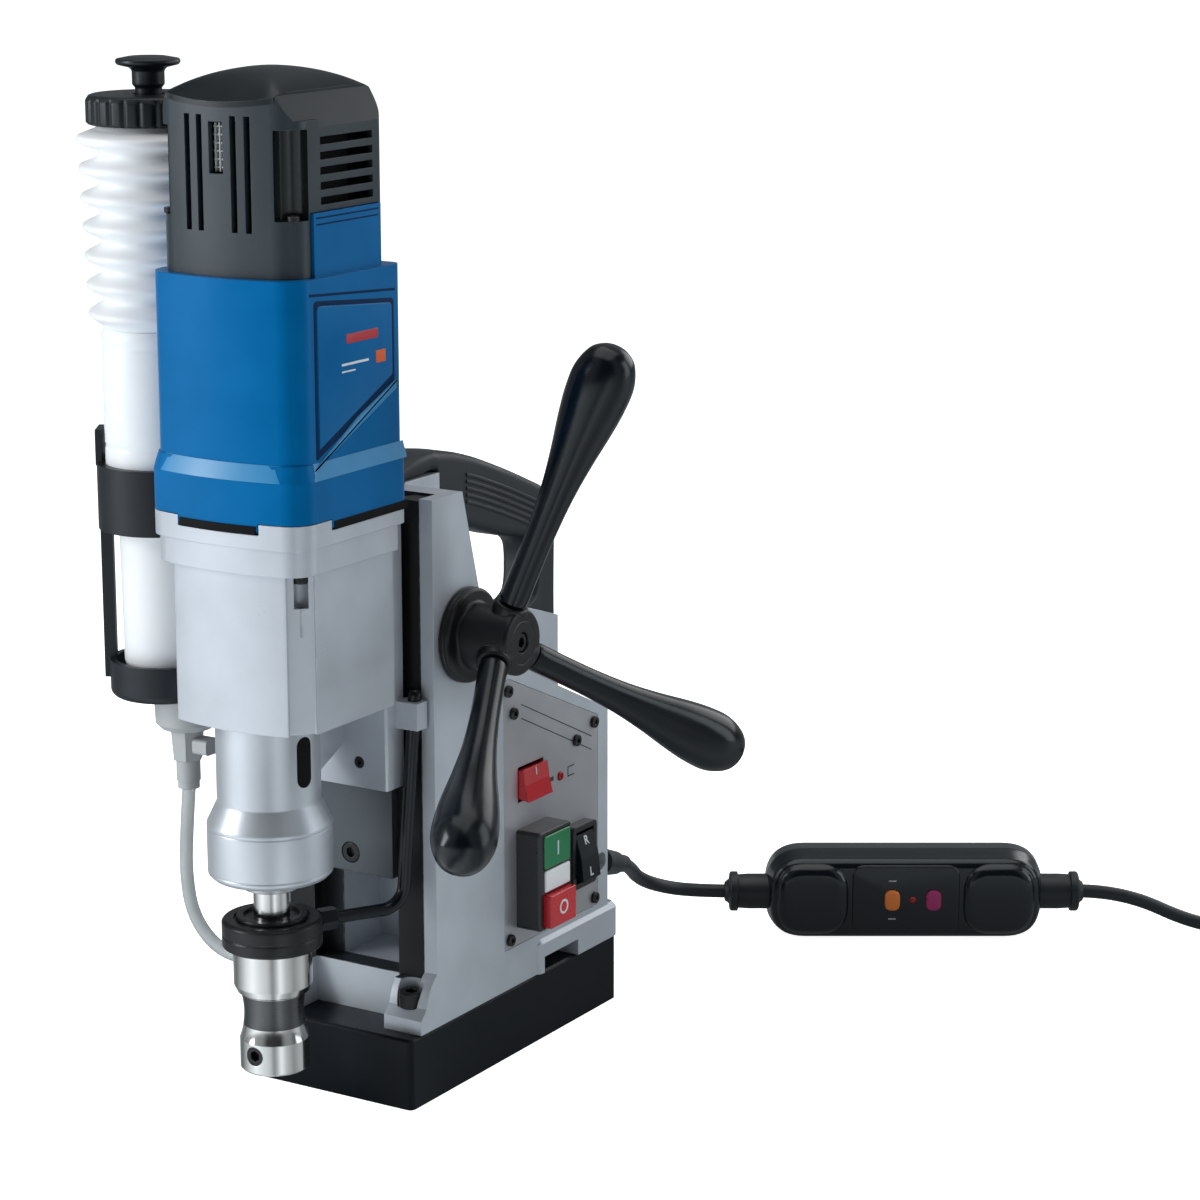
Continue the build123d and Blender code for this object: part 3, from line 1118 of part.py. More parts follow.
BOX_FACE = Plane(
    by_box(0, 0, 0), x_dir=(cos(radians(BOX_TURN)), sin(radians(BOX_TURN)), 0),
    z_dir=(sin(radians(BOX_TURN)), -cos(radians(BOX_TURN)), 0),
)
for shell_name, shell_start, shell_depth in (("inline_box_front", 0, 20), ("inline_box_back", 0, -18)):
    with BuildPart() as box_shell:
        with BuildSketch(BOX_FACE.offset(shell_start)):
            with Locations((0, BOX_MIDDLE)):
                RectangleRounded(2 * BOX_HALF, BOX_HEIGHT, 20)
        extrude(amount=shell_depth, taper=12)
        with BuildSketch(BOX_FACE.offset(shell_start)):
            with Locations((0, BOX_MIDDLE)):
                RectangleRounded(2 * BOX_HALF - 6, BOX_HEIGHT - 6, 17)
        extrude(amount=shell_depth * 0.8, taper=12, mode=Mode.SUBTRACT)
        with Locations(Plane(by_box(0, 0, BOX_MIDDLE), z_dir=BOX_FACE.x_dir)):
            Cylinder(10.5 + FIT, 2 * BOX_HALF + 4, mode=Mode.SUBTRACT)
        if shell_depth > 0:
            with BuildSketch(BOX_FACE.offset(shell_depth)):
                with Locations((0, BOX_MIDDLE)):
                    RectangleRounded(74, 60, 5)
            extrude(amount=-3, mode=Mode.SUBTRACT)
            with BuildSketch(BOX_FACE.offset(shell_depth)):
                with Locations((-8, BOX_MIDDLE), (16, BOX_MIDDLE)):
                    Rectangle(10.8, 12.8)
            extrude(amount=-shell_depth, mode=Mode.SUBTRACT)
    finish(box_shell, shell_name)

for button_name, button_along in (("reset_button", -8), ("test_button", 16)):
    with BuildPart() as box_button:
        with BuildSketch(BOX_FACE.offset(8)):
            with Locations((button_along, BOX_MIDDLE)):
                RectangleRounded(10, 12, 1.5)
        extrude(amount=11)
        fillet(box_button.faces().sort_by(Axis.Y)[0].edges(), 0.8)
    finish(box_button, button_name)

with BuildPart() as box_reliefs:
    for side in (-1, 1):
        relief_plane = Plane(
            by_box(side * (BOX_HALF - 2), 0, BOX_MIDDLE),
            z_dir=(side * cos(radians(BOX_TURN)), side * sin(radians(BOX_TURN)), 0),
        )
        for share, radius in ((0, 10.5), (0.76, 10), (0.77, 11.5), (0.93, 11.5), (0.94, 8), (1, 5.2)):
            with BuildSketch(relief_plane.offset(share * (BOX_RELIEF + 2))):
                Circle(radius)
        loft(ruled=True)
finish(box_reliefs, "inline_box_reliefs")

PLUG_R = 18.5
with BuildPart() as mains_plug:
    for plug_out, plug_radius in ((0, 5), (24, 7), (26, 12), (36, PLUG_R), (60, PLUG_R)):
        with BuildSketch(coil_exit.offset(PLUG_START + plug_out)):
            Circle(plug_radius)
    loft(ruled=True)
    with BuildSketch(coil_exit.offset(PLUG_START + 60)):
        with GridLocations(19, 1, 2, 1):
            Circle(2.4)
    extrude(amount=19)
finish(mains_plug, "mains_plug")
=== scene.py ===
"""Looks of the magnetic drill press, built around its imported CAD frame. Metres, the row's own frame."""

import json
from math import cos, exp, log, pi, radians, sin

import bmesh
import bpy
from mathutils import Matrix, Vector


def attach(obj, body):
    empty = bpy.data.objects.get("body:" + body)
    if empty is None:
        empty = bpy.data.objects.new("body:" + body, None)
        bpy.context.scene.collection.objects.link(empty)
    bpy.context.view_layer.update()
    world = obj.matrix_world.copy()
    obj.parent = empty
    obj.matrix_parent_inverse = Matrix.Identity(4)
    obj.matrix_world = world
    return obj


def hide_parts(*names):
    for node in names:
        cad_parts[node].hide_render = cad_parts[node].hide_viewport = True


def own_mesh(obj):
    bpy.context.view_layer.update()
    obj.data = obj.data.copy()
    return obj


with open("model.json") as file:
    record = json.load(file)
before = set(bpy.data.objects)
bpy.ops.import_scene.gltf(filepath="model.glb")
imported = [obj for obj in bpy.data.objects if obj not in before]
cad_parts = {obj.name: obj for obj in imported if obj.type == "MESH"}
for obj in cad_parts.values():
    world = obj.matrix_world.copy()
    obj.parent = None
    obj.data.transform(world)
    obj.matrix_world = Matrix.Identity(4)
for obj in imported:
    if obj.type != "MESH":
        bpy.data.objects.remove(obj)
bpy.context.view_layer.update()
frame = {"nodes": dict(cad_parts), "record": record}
NODES = frame["nodes"]
MM = 0.001

# ---------------- camera, floor, light
scene = bpy.context.scene
VIEW_TURN = radians(31.4)
VIEW_PITCH = radians(13.17)
CAMERA_PLACE = Vector((0.9709, -1.4258, 0.6437))
LENS, SENSOR = 101.4, 36
SPINDLE = (0, -0.1476, 0)  # where the spindle's axis meets the floor


def add_camera():
    """Camera at the viewing angle, a little above the machine and to its right."""
    data = bpy.data.cameras.new("camera")
    data.lens = LENS
    data.sensor_width = SENSOR
    camera = bpy.data.objects.new("camera", data)
    ahead = Vector((-sin(VIEW_TURN) * cos(VIEW_PITCH), cos(VIEW_TURN) * cos(VIEW_PITCH), -sin(VIEW_PITCH)))
    camera.rotation_euler = ahead.to_track_quat("-Z", "Y").to_euler()
    camera.location = CAMERA_PLACE
    scene.collection.objects.link(camera)
    scene.camera = camera


def add_light(name, place, target, size, power, color):
    """A soft box that looks at a target."""
    data = bpy.data.lights.new(name, "AREA")
    data.shape = "RECTANGLE"
    data.size, data.size_y = size
    data.energy = power
    data.color = color
    light = bpy.data.objects.new(name, data)
    light.location = place
    light.rotation_euler = (Vector(target) - Vector(place)).to_track_quat("-Z", "Y").to_euler()
    scene.collection.objects.link(light)


COOL = (0.9, 0.96, 1)  # colour of the studio's surfaces


def banded(tree, bands, output, white, place=(0, 0, 0)):
    """Bright and dark sides around an upright line; the camera itself sees plain white instead."""
    around = tree.nodes.new("ShaderNodeTexCoord")
    mapping = tree.nodes.new("ShaderNodeMapping")
    mapping.inputs["Location"].default_value = place
    turn = tree.nodes.new("ShaderNodeTexGradient")
    turn.gradient_type = "RADIAL"
    ramp = tree.nodes.new("ShaderNodeValToRGB")
    stops = ramp.color_ramp.elements
    for index, (share, light) in enumerate(bands):
        stop = stops[index] if index < 2 else stops.new(share)
        stop.position = share
        stop.color = (*(light * part for part in COOL), 1)
    tree.links.new(around.outputs[output], mapping.inputs["Vector"])
    tree.links.new(mapping.outputs["Vector"], turn.inputs["Vector"])
    tree.links.new(turn.outputs["Fac"], ramp.inputs["Fac"])
    path = tree.nodes.new("ShaderNodeLightPath")
    tone = tree.nodes.new("ShaderNodeMix")
    tone.data_type = "RGBA"
    tree.links.new(path.outputs["Is Camera Ray"], tone.inputs["Factor"])
    tree.links.new(ramp.outputs["Color"], tone.inputs["A"])
    tone.inputs["B"].default_value = (white, white, white, 1)
    return tone.outputs["Result"]


# brightness of the studio's sides and of its floor, by share of a turn from the machine's left
STUDIO_BANDS = (
    (0.0, 0.5), (0.08, 0.9), (0.17, 1.0), (0.23, 0.95), (0.28, 0.12), (0.41, 0.08), (0.45, 0.9),
    (0.50, 0.95), (0.55, 0.3), (0.62, 0.1), (0.70, 0.5), (0.82, 0.75), (0.92, 0.25), (1.0, 0.5),
)
FLOOR_BANDS = (
    (0.0, 0.12), (0.07, 0.4), (0.13, 0.75), (0.185, 1.0), (0.24, 0.75), (0.31, 0.55), (0.345, 0.2),
    (0.375, 0.45), (0.405, 0.95), (0.45, 0.5), (0.52, 0.25), (0.60, 0.45), (0.66, 0.2), (0.72, 0.15),
    (0.86, 0.3), (1.0, 0.12),
)
FLOOR_HALF = 40
FLOOR_WHITE, FLOOR_GLOW = 0.98, 0.97
BACKDROP_WHITE, BACKDROP_STRENGTH = 2.5, 0.42


def add_floor():
    """A large sheet under the machine, white to look at, with bright and dark sides in what mirrors it."""
    mesh = bpy.data.meshes.new("floor")
    corners = [(x * FLOOR_HALF, y * FLOOR_HALF, 0) for x, y in ((-1, -1), (1, -1), (1, 1), (-1, 1))]
    mesh.from_pydata(corners, [], [(0, 1, 2, 3)])
    floor = bpy.data.objects.new("floor", mesh)
    scene.collection.objects.link(floor)
    paint = bpy.data.materials.new("floor_paper")
    paint.use_nodes = True
    tree = paint.node_tree
    shader = tree.nodes["Principled BSDF"]
    tone = banded(tree, FLOOR_BANDS, "Object", FLOOR_WHITE, (0, -SPINDLE[1], 0))
    tree.links.new(tone, shader.inputs["Base Color"])
    tree.links.new(tone, shader.inputs["Emission Color"])
    shader.inputs["Emission Strength"].default_value = FLOOR_GLOW
    shader.inputs["Roughness"].default_value = 0.85
    shader.inputs["Specular IOR Level"].default_value = 0.15
    mesh.materials.append(paint)


LIGHTS = (  # name, place, what it faces, width and height, power in watts, colour
    ("key", (-1.35, -1.5, 0.9), (0, -0.1, 0.25), (0.6, 1.3), 24, (0.93, 0.97, 1)),
    ("fill", (1.5, 0.85, 0.75), (0, -0.05, 0.22), (0.7, 1.3), 7, (0.84, 0.94, 1)),
    ("ceiling", (0, 0.2, 2.6), (0, 0.2, 0), (2.5, 2.5), 24, (1, 1, 1)),
    ("rim", (0.5, 1.5, 0.9), (0, 0, 0.25), (1.2, 0.8), 6, (1, 1, 1)),
)
add_camera()
add_floor()
for light in LIGHTS:
    add_light(*light)
world = bpy.data.worlds.new("studio")
world.use_nodes = True
backdrop = world.node_tree.nodes["Background"]
sides = banded(world.node_tree, STUDIO_BANDS, "Generated", BACKDROP_WHITE)
world.node_tree.links.new(sides, backdrop.inputs["Color"])
backdrop.inputs["Strength"].default_value = BACKDROP_STRENGTH
scene.world = world
scene.view_settings.view_transform = "Standard"


# ---------------- materials
class Nodes:
    """Short calls for building a node tree."""

    def __init__(self, name):
        self.material = bpy.data.materials.new(name)
        self.material.use_nodes = True
        self.tree = self.material.node_tree
        self.shader = self.tree.nodes["Principled BSDF"]

    def add(self, kind, **values):
        node = self.tree.nodes.new(kind)
        for key, value in values.items():
            setattr(node, key, value)
        return node

    def link(self, source, target):
        self.tree.links.new(source, target)


def mapped(nodes, stretch):
    """Object coordinates, stretched along the axes."""
    place = nodes.add("ShaderNodeTexCoord")
    mapping = nodes.add("ShaderNodeMapping")
    mapping.inputs["Scale"].default_value = stretch
    nodes.link(place.outputs["Object"], mapping.inputs["Vector"])
    return mapping.outputs["Vector"]


def noise(nodes, vector, scale, detail):
    """Noise at so many features a metre."""
    texture = nodes.add("ShaderNodeTexNoise")
    texture.inputs["Scale"].default_value = scale
    texture.inputs["Detail"].default_value = detail
    nodes.link(vector, texture.inputs["Vector"])
    return texture.outputs["Fac"]


def ranged(nodes, value, low, high, to_low, to_high):
    """A value mapped from one range to another."""
    node = nodes.add("ShaderNodeMapRange")
    for key, number in (("From Min", low), ("From Max", high), ("To Min", to_low), ("To Max", to_high)):
        node.inputs[key].default_value = number
    nodes.link(value, node.inputs["Value"])
    return node.outputs["Result"]


def blended(nodes, factor, first, second):
    """Two colours mixed by a factor; each is a colour or an output socket."""
    mix = nodes.add("ShaderNodeMix", data_type="RGBA")
    nodes.link(factor, mix.inputs["Factor"])
    for socket, color in ((mix.inputs["A"], first), (mix.inputs["B"], second)):
        if isinstance(color, tuple):
            socket.default_value = (*color, 1)
        else:
            nodes.link(color, socket)
    return mix.outputs["Result"]


def edge_mask(nodes, radius):
    """Rounded normal, and a mask of the surface close to an edge."""
    bevel = nodes.add("ShaderNodeBevel", samples=4)
    bevel.inputs["Radius"].default_value = radius
    geometry = nodes.add("ShaderNodeNewGeometry")
    dot = nodes.add("ShaderNodeVectorMath", operation="DOT_PRODUCT")
    nodes.link(bevel.outputs["Normal"], dot.inputs[0])
    nodes.link(geometry.outputs["Normal"], dot.inputs[1])
    return bevel.outputs["Normal"], ranged(nodes, dot.outputs["Value"], 0.995, 0.86, 0, 1)


CHANNEL_HALF, CHANNEL_FRONT, CHANNEL_LOW = 0.0422, -0.0615, 0.0618
CHANNEL_BLUR = 0.0002


def channel_shade_mask(nodes, vector):
    """Mask of the surfaces inside the channel that the slide runs in, where painted shade darkens the paint."""
    parts = nodes.add("ShaderNodeSeparateXYZ")
    nodes.link(vector, parts.inputs["Vector"])
    across = nodes.add("ShaderNodeMath", operation="ABSOLUTE")
    nodes.link(parts.outputs["X"], across.inputs[0])
    mask = ranged(nodes, across.outputs["Value"], CHANNEL_HALF, CHANNEL_HALF + CHANNEL_BLUR, 1, 0)
    for value in (
        ranged(nodes, parts.outputs["Y"], CHANNEL_FRONT, CHANNEL_FRONT + CHANNEL_BLUR, 1, 0),
        ranged(nodes, parts.outputs["Z"], CHANNEL_LOW - CHANNEL_BLUR, CHANNEL_LOW, 0, 1),
    ):
        both = nodes.add("ShaderNodeMath", operation="MULTIPLY")
        nodes.link(mask, both.inputs[0])
        nodes.link(value, both.inputs[1])
        mask = both.outputs["Value"]
    return mask


def finish_of(
    name, color, roughness, metallic=0.0, grain=700, depth=0.05, spread=0.06, tone=0.05, stretch=(1, 1, 1),
    worn=None, wear=0.5, edge=0.0006, top=None, way=None, **sockets,
):
    """A painted, moulded or machined finish.

    grain is the bump's features a metre and depth its height in millimetres. spread is the change of
    roughness, tone the change of brightness, and stretch the direction of brushing. edge is the reach of an
    edge in metres, worn the colour of rubbed edges and wear how rubbed they are. top is the painted shade of
    surfaces that face up, and way the painted shade inside the slide's channel.
    """
    nodes = Nodes(name)
    shader = nodes.shader
    shader.inputs["Metallic"].default_value = metallic
    for key, value in sockets.items():
        shader.inputs[key.replace("_", " ")].default_value = value
    even = mapped(nodes, (1, 1, 1))
    patches = noise(nodes, even, 28, 4)
    streaks = noise(nodes, mapped(nodes, stretch), grain, 2)
    dark = tuple(part * (1 - tone) for part in color)
    light = tuple(min(1, part * (1 + tone) + tone * 0.02) for part in color)
    paint = blended(nodes, ranged(nodes, patches, 0.35, 0.65, 0, 1), dark, light)
    # painted shade: surfaces that face up take the darker top colour
    if top:
        geometry = nodes.add("ShaderNodeNewGeometry")
        upward = nodes.add("ShaderNodeSeparateXYZ")
        nodes.link(geometry.outputs["Normal"], upward.inputs["Vector"])
        paint = blended(nodes, ranged(nodes, upward.outputs["Z"], 0.3, 0.6, 0, 1), paint, top)
    # painted shade: the surfaces inside the slide's channel are darkened
    if way:
        paint = blended(nodes, channel_shade_mask(nodes, even), paint, way)
    normal, near_edge = edge_mask(nodes, edge)
    if worn:
        breaks = ranged(nodes, noise(nodes, even, 160, 4), 0.42, 0.62, 0, wear)
        rubbed = nodes.add("ShaderNodeMath", operation="MULTIPLY")
        nodes.link(near_edge, rubbed.inputs[0])
        nodes.link(breaks, rubbed.inputs[1])
        paint = blended(nodes, rubbed.outputs["Value"], paint, worn)
    nodes.link(paint, shader.inputs["Base Color"])
    mixed = nodes.add("ShaderNodeMath", operation="ADD")
    nodes.link(ranged(nodes, patches, 0.3, 0.7, -spread, spread), mixed.inputs[0])
    smooth, rough = roughness - spread / 2, roughness + spread / 2
    nodes.link(ranged(nodes, streaks, 0.3, 0.7, smooth, rough), mixed.inputs[1])
    nodes.link(mixed.outputs["Value"], shader.inputs["Roughness"])
    bump = nodes.add("ShaderNodeBump")
    bump.inputs["Strength"].default_value = 1
    bump.inputs["Distance"].default_value = depth * MM
    nodes.link(streaks, bump.inputs["Height"])
    nodes.link(normal, bump.inputs["Normal"])
    nodes.link(bump.outputs["Normal"], shader.inputs["Normal"])
    return nodes.material


FINE = dict(grain=900, depth=0.01)
LOOKS = {  # each finish: its colour, its roughness, and what else finish_of takes
    "magnet_black": (
        (0.003, 0.005, 0.008), 0.42,
        dict(grain=900, depth=0.03, worn=(0.08, 0.08, 0.09), Specular_IOR_Level=0.16),
    ),
    "coil_resin": ((0.1, 0.05, 0.025), 0.6, {}),
    # the stand's paint is darkened inside the slide's channel as painted shade
    "stand_silver": (
        (0.56, 0.59, 0.635), 0.42,
        dict(metallic=0.35, grain=1100, depth=0.035, worn=(0.75, 0.75, 0.76), way=(0.035, 0.04, 0.045)),
    ),
    "gearbox_silver": (
        (0.54, 0.565, 0.61), 0.36,
        dict(metallic=0.3, grain=1200, depth=0.03, worn=(0.8, 0.8, 0.8)),
    ),
    "motor_blue": (
        (0.0, 0.125, 0.34), 0.34,
        dict(
            grain=1500, depth=0.02, spread=0.04, tone=0.06, Specular_IOR_Level=0.35,
            Specular_Tint=(0.02, 0.42, 1, 1),
        ),
    ),
    # motor_grey's top colour is painted shade: the cap's upward faces are darkened
    "motor_grey": (
        (0.026, 0.037, 0.045), 0.38,
        dict(
            grain=1300, depth=0.05, top=(0.007, 0.01, 0.012), worn=(0.13, 0.14, 0.145),
            Specular_IOR_Level=0.32,
        ),
    ),
    "lid_black": (
        (0.006, 0.01, 0.013), 0.34,
        dict(grain=1300, depth=0.03, worn=(0.12, 0.13, 0.13), wear=0.8, Specular_IOR_Level=0.25),
    ),
    "flute_black": ((0.008, 0.012, 0.013), 0.2, dict(grain=500, depth=0.01, Specular_IOR_Level=0.5)),
    "machined_steel": (
        (0.58, 0.57, 0.55), 0.17,
        dict(metallic=1, stretch=(1, 1, 12), grain=220, depth=0.006, spread=0.04),
    ),
    "gear_steel": ((0.38, 0.38, 0.39), 0.32, dict(metallic=1, stretch=(1, 1, 8), grain=200, depth=0.01)),
    "slide_steel": (
        (0.085, 0.095, 0.105), 0.42,
        dict(metallic=0.7, stretch=(1, 1, 8), grain=200, depth=0.004),
    ),
    "black_steel": (
        (0.02, 0.02, 0.021), 0.36,
        dict(metallic=0.6, grain=800, depth=0.02, worn=(0.3, 0.3, 0.3)),
    ),
    "sleeve_steel": (
        (0.56, 0.585, 0.62), 0.36,
        dict(metallic=0.6, stretch=(1, 1, 20), grain=160, depth=0.003, spread=0.03),
    ),
    "waist_steel": ((0.1, 0.1, 0.1), 0.28, dict(metallic=1, stretch=(1, 1, 16), grain=160, depth=0.008)),
    "stator_iron": ((0.15, 0.15, 0.16), 0.5, dict(metallic=0.8, stretch=(1, 1, 40), grain=60)),
    "armature_copper": ((0.42, 0.2, 0.1), 0.4, dict(metallic=0.9)),
    "bronze": ((0.45, 0.28, 0.1), 0.35, dict(metallic=1)),
    "ribbed_black": ((0.009, 0.012, 0.015), 0.48, dict(grain=1400, depth=0.05, worn=(0.05, 0.05, 0.05))),
    "gloss_black": (
        (0.002, 0.004, 0.007), 0.22,
        dict(grain=300, depth=0.006, spread=0.04, Specular_IOR_Level=0.34),
    ),
    "box_black": (
        (0.003, 0.006, 0.009), 0.2,
        dict(grain=1200, depth=0.006, spread=0.04, Specular_IOR_Level=0.5),
    ),
    "satin_black": (
        (0.006, 0.009, 0.012), 0.38,
        dict(grain=1300, depth=0.04, worn=(0.06, 0.06, 0.06), Specular_IOR_Level=0.35),
    ),
    "switch_grey": ((0.02, 0.02, 0.022), 0.34, dict(grain=1300, depth=0.03)),
    "panel_silver": (
        (0.5, 0.5, 0.52), 0.36,
        dict(metallic=0.6, stretch=(1, 1, 14), grain=260, depth=0.008),
    ),
    "button_green": ((0.0, 0.22, 0.07), 0.25, dict(grain=600, depth=0.01, Coat_Weight=0.3)),
    "button_red": ((0.62, 0.012, 0.02), 0.25, dict(grain=600, depth=0.01, Coat_Weight=0.3)),
    "button_orange": ((0.85, 0.22, 0.03), 0.3, dict(grain=600, depth=0.01)),
    "button_magenta": ((0.42, 0.02, 0.14), 0.3, dict(grain=600, depth=0.01)),
    "lamp_red": ((0.5, 0.01, 0.01), 0.12, dict(grain=400, depth=0.01, Transmission_Weight=0.3)),
    "bottle_white": (
        (0.93, 0.935, 0.94), 0.38,
        dict(grain=500, depth=0.015, tone=0.015, Subsurface_Weight=0.06, Subsurface_Scale=0.002),
    ),
    "hose_clear": (
        (0.8, 0.82, 0.82), 0.14,
        dict(grain=300, depth=0.01, Transmission_Weight=0.65, IOR=1.3),
    ),
    "fitting_grey": ((0.46, 0.47, 0.47), 0.4, dict(grain=900, depth=0.02)),
    # painted highlight: a lighter copy of the housing's blue, for the band and creases that catch the light
    "blue_painted_highlight": ((0.02, 0.24, 0.5), 0.34, dict(grain=1500, depth=0.02)),
    # painted shade: a darker copy of the housing's blue, for the grooves
    "blue_painted_shade": ((0.0, 0.022, 0.075), 0.5, dict(grain=1500, depth=0.01, Specular_IOR_Level=0.08)),
    "badge_red": ((0.5, 0.03, 0.04), 0.35, FINE),
    "badge_orange": ((0.8, 0.13, 0.03), 0.35, FINE),
    "mark_white": ((0.82, 0.82, 0.82), 0.4, FINE),
    # painted shade: black for the shade in openings, gaps and the cap's inside
    "painted_shade_black": ((0.004, 0.004, 0.004), 0.6, dict(grain=900, depth=0.01, Specular_IOR_Level=0.1)),
    "mark_dark": ((0.03, 0.03, 0.032), 0.45, FINE),
    "board_green": ((0.01, 0.09, 0.035), 0.4, {}),
    "cord_black": ((0.009, 0.012, 0.015), 0.46, dict(grain=1600, depth=0.03, tone=0.1)),
}
FINISH = {
    name: finish_of(name, color, roughness, **rest) for name, (color, roughness, rest) in LOOKS.items()
}
for part in frame["record"]["subparts"]:
    node = NODES[part["node"]]
    node.data.materials.clear()
    node.data.materials.append(FINISH[part["material_slot"]])
NODES["hub_screw"].data.materials[0] = FINISH["black_steel"]
NODES["slide_plate"].data.materials[0] = FINISH["slide_steel"]

# ---------------- mesh helpers
def joined(bm, first, second):
    """Faces between two rings of vertices; a ring of one vertex is a tip."""
    if len(first) == 1 and len(second) == 1:
        return
    count = max(len(first), len(second))
    for index in range(count):
        after = (index + 1) % count
        if len(first) == 1:
            bm.faces.new((first[0], second[after], second[index]))
        elif len(second) == 1:
            bm.faces.new((first[index], first[after], second[0]))
        else:
            bm.faces.new((first[index], first[after], second[after], second[index]))


def add_piece(name, bm, finish, body, nodes=(), sharp=38):
    """The finished mesh as an object that rides on a body and may stand for CAD nodes."""
    bmesh.ops.recalc_face_normals(bm, faces=bm.faces)
    mesh = bpy.data.meshes.new(name)
    bm.to_mesh(mesh)
    bm.free()
    for polygon in mesh.polygons:
        polygon.use_smooth = True
    mesh.set_sharp_from_angle(angle=radians(sharp))
    mesh.materials.append(FINISH[finish])
    piece = bpy.data.objects.new(name, mesh)
    scene.collection.objects.link(piece)
    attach(piece, body)
    if nodes:
        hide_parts(*nodes)
    return piece


def round_off(start, corner, end, steps):
    """Points of the curve that rounds a corner, from start to end."""
    shares = [step / steps for step in range(steps + 1)]
    return [start * (1 - share) ** 2 + corner * 2 * share * (1 - share) + end * share**2 for share in shares]


def eased(profile, radius, steps=4):
    """A line of (radius, height) points with each inner corner rounded."""
    points = [Vector(point) for point in profile]
    line = [points[0]]
    for before, corner, after in zip(points, points[1:], points[2:]):
        into, out = (before - corner), (after - corner)
        reach = min(radius, into.length * 0.45, out.length * 0.45)
        start, end = corner + into.normalized() * reach, corner + out.normalized() * reach
        line += round_off(start, corner, end, steps)
    line.append(points[-1])
    return line


def through(points, steps):
    """A smooth line through points, by Catmull-Rom."""
    stops = [Vector(point) for point in points]
    stops = [stops[0] * 2 - stops[1], *stops, stops[-1] * 2 - stops[-2]]
    line = []
    for a, b, c, d in zip(stops, stops[1:], stops[2:], stops[3:]):
        for step in range(steps):
            t = step / steps
            bend, twist = 2 * a - 5 * b + 4 * c - d, 3 * b - a - 3 * c + d
            line.append(0.5 * (2 * b + (c - a) * t + bend * t**2 + twist * t**3))
    line.append(stops[-2])
    return line


def arc_height(points, at):
    """Height at a place on the arch through three points, its middle point the highest."""
    (ax, ay), (bx, by), (cx, cy) = points
    spread = 2 * (ax * (by - cy) + bx * (cy - ay) + cx * (ay - by))
    a, b, c = ax * ax + ay * ay, bx * bx + by * by, cx * cx + cy * cy
    x = (a * (by - cy) + b * (cy - ay) + c * (ay - by)) / spread
    y = (a * (cx - bx) + b * (ax - cx) + c * (bx - ax)) / spread
    return y + ((ax - x) ** 2 + (ay - y) ** 2 - (at - x) ** 2) ** 0.5


def casing_line(half, front, back, bow, corner=13):
    """Plan of a casing as a line: its left side, its bowed front with round corners, its right side."""
    right, steps = [], 14
    for step in range(steps + 1):
        x = (half - corner) * step / steps
        right.append((x, -arc_height(((-half, -front), (0, bow - front), (half, -front)), x)))
    start, corner_point, end = Vector(right[-1]), Vector((half, front)), Vector((half, front + corner))
    right += [tuple(point) for point in round_off(start, corner_point, end, 8)[1:]]
    right.append((half, back))
    left = [(-x, y) for x, y in reversed(right[1:])]
    return [*left, *right]


def turned(bm, profile, base, axis=(0, 0, 1), segments=96, flutes=0, flute_depth=0.0, closed=False):
    """A surface of revolution from (radius, height) points in mm; flutes are cut in its widest part."""
    widest = max(radius for radius, height in profile)
    place = Matrix.Translation(base) @ Vector(axis).to_track_quat("Z", "Y").to_matrix().to_4x4()
    rings = []
    for radius, height in profile:
        if radius < 1e-4:
            rings.append([bm.verts.new(place @ Vector((0, 0, height * MM)))])
            continue
        ring = []
        for index in range(segments):
            angle = 2 * pi * index / segments
            inset = flute_depth * max(0, cos(flutes * angle)) ** 2 if radius > widest - 0.5 else 0
            reach = (radius - inset) * MM
            ring.append(bm.verts.new(place @ Vector((reach * cos(angle), reach * sin(angle), height * MM))))
        rings.append(ring)
    for first, second in zip(rings, rings[1:]):
        joined(bm, first, second)
    if closed:
        joined(bm, rings[-1], rings[0])


def add_turned(name, profile, base, finish, body, nodes=(), sharp=38, **shape):
    """A piece that is one surface of revolution."""
    bm = bmesh.new()
    turned(bm, profile, base, **shape)
    return add_piece(name, bm, finish, body, nodes, sharp)


def corner_rounded(points, radius, steps=6):
    """A closed outline in millimetres with each corner rounded."""
    outline = []
    count = len(points)
    for index, point in enumerate(points):
        corner = Vector(point)
        into, out = Vector(points[index - 1]) - corner, Vector(points[(index + 1) % count]) - corner
        half = into.angle(out) / 2
        slope = max(0.05, abs(sin(half) / cos(half)))
        reach = min(radius / slope, into.length * 0.49, out.length * 0.49)
        start, end = corner + into.normalized() * reach, corner + out.normalized() * reach
        outline += round_off(start, corner, end, steps)
    return outline


def box_outline(width, height, radius, centre=(0, 0), steps=6):
    """A rounded rectangle."""
    x, y = centre
    half_w, half_h = width / 2, height / 2
    signs = ((-1, -1), (1, -1), (1, 1), (-1, 1))
    corners = [(x + side * half_w, y + end * half_h) for side, end in signs]
    return corner_rounded(corners, radius, steps)


def stacked(bm, sections, place):
    """A closed skin through outlines at heights; each section is (outline, height) in millimetres."""
    rings = []
    for outline, height in sections:
        rings.append([bm.verts.new(place @ Vector((x * MM, y * MM, height * MM))) for x, y in outline])
    for first, second in zip(rings, rings[1:]):
        joined(bm, first, second)
    bm.faces.new(reversed(rings[0]))
    bm.faces.new(rings[-1])


def shrunk(outline, inset):
    """A convex outline moved inward by so many millimetres."""
    count = len(outline)
    moved = []
    for index in range(count):
        ahead = Vector(outline[(index + 1) % count]) - Vector(outline[index - 1])
        across = Vector((-ahead.y, ahead.x)).normalized()
        moved.append(Vector(outline[index]) + across * inset)
    return moved


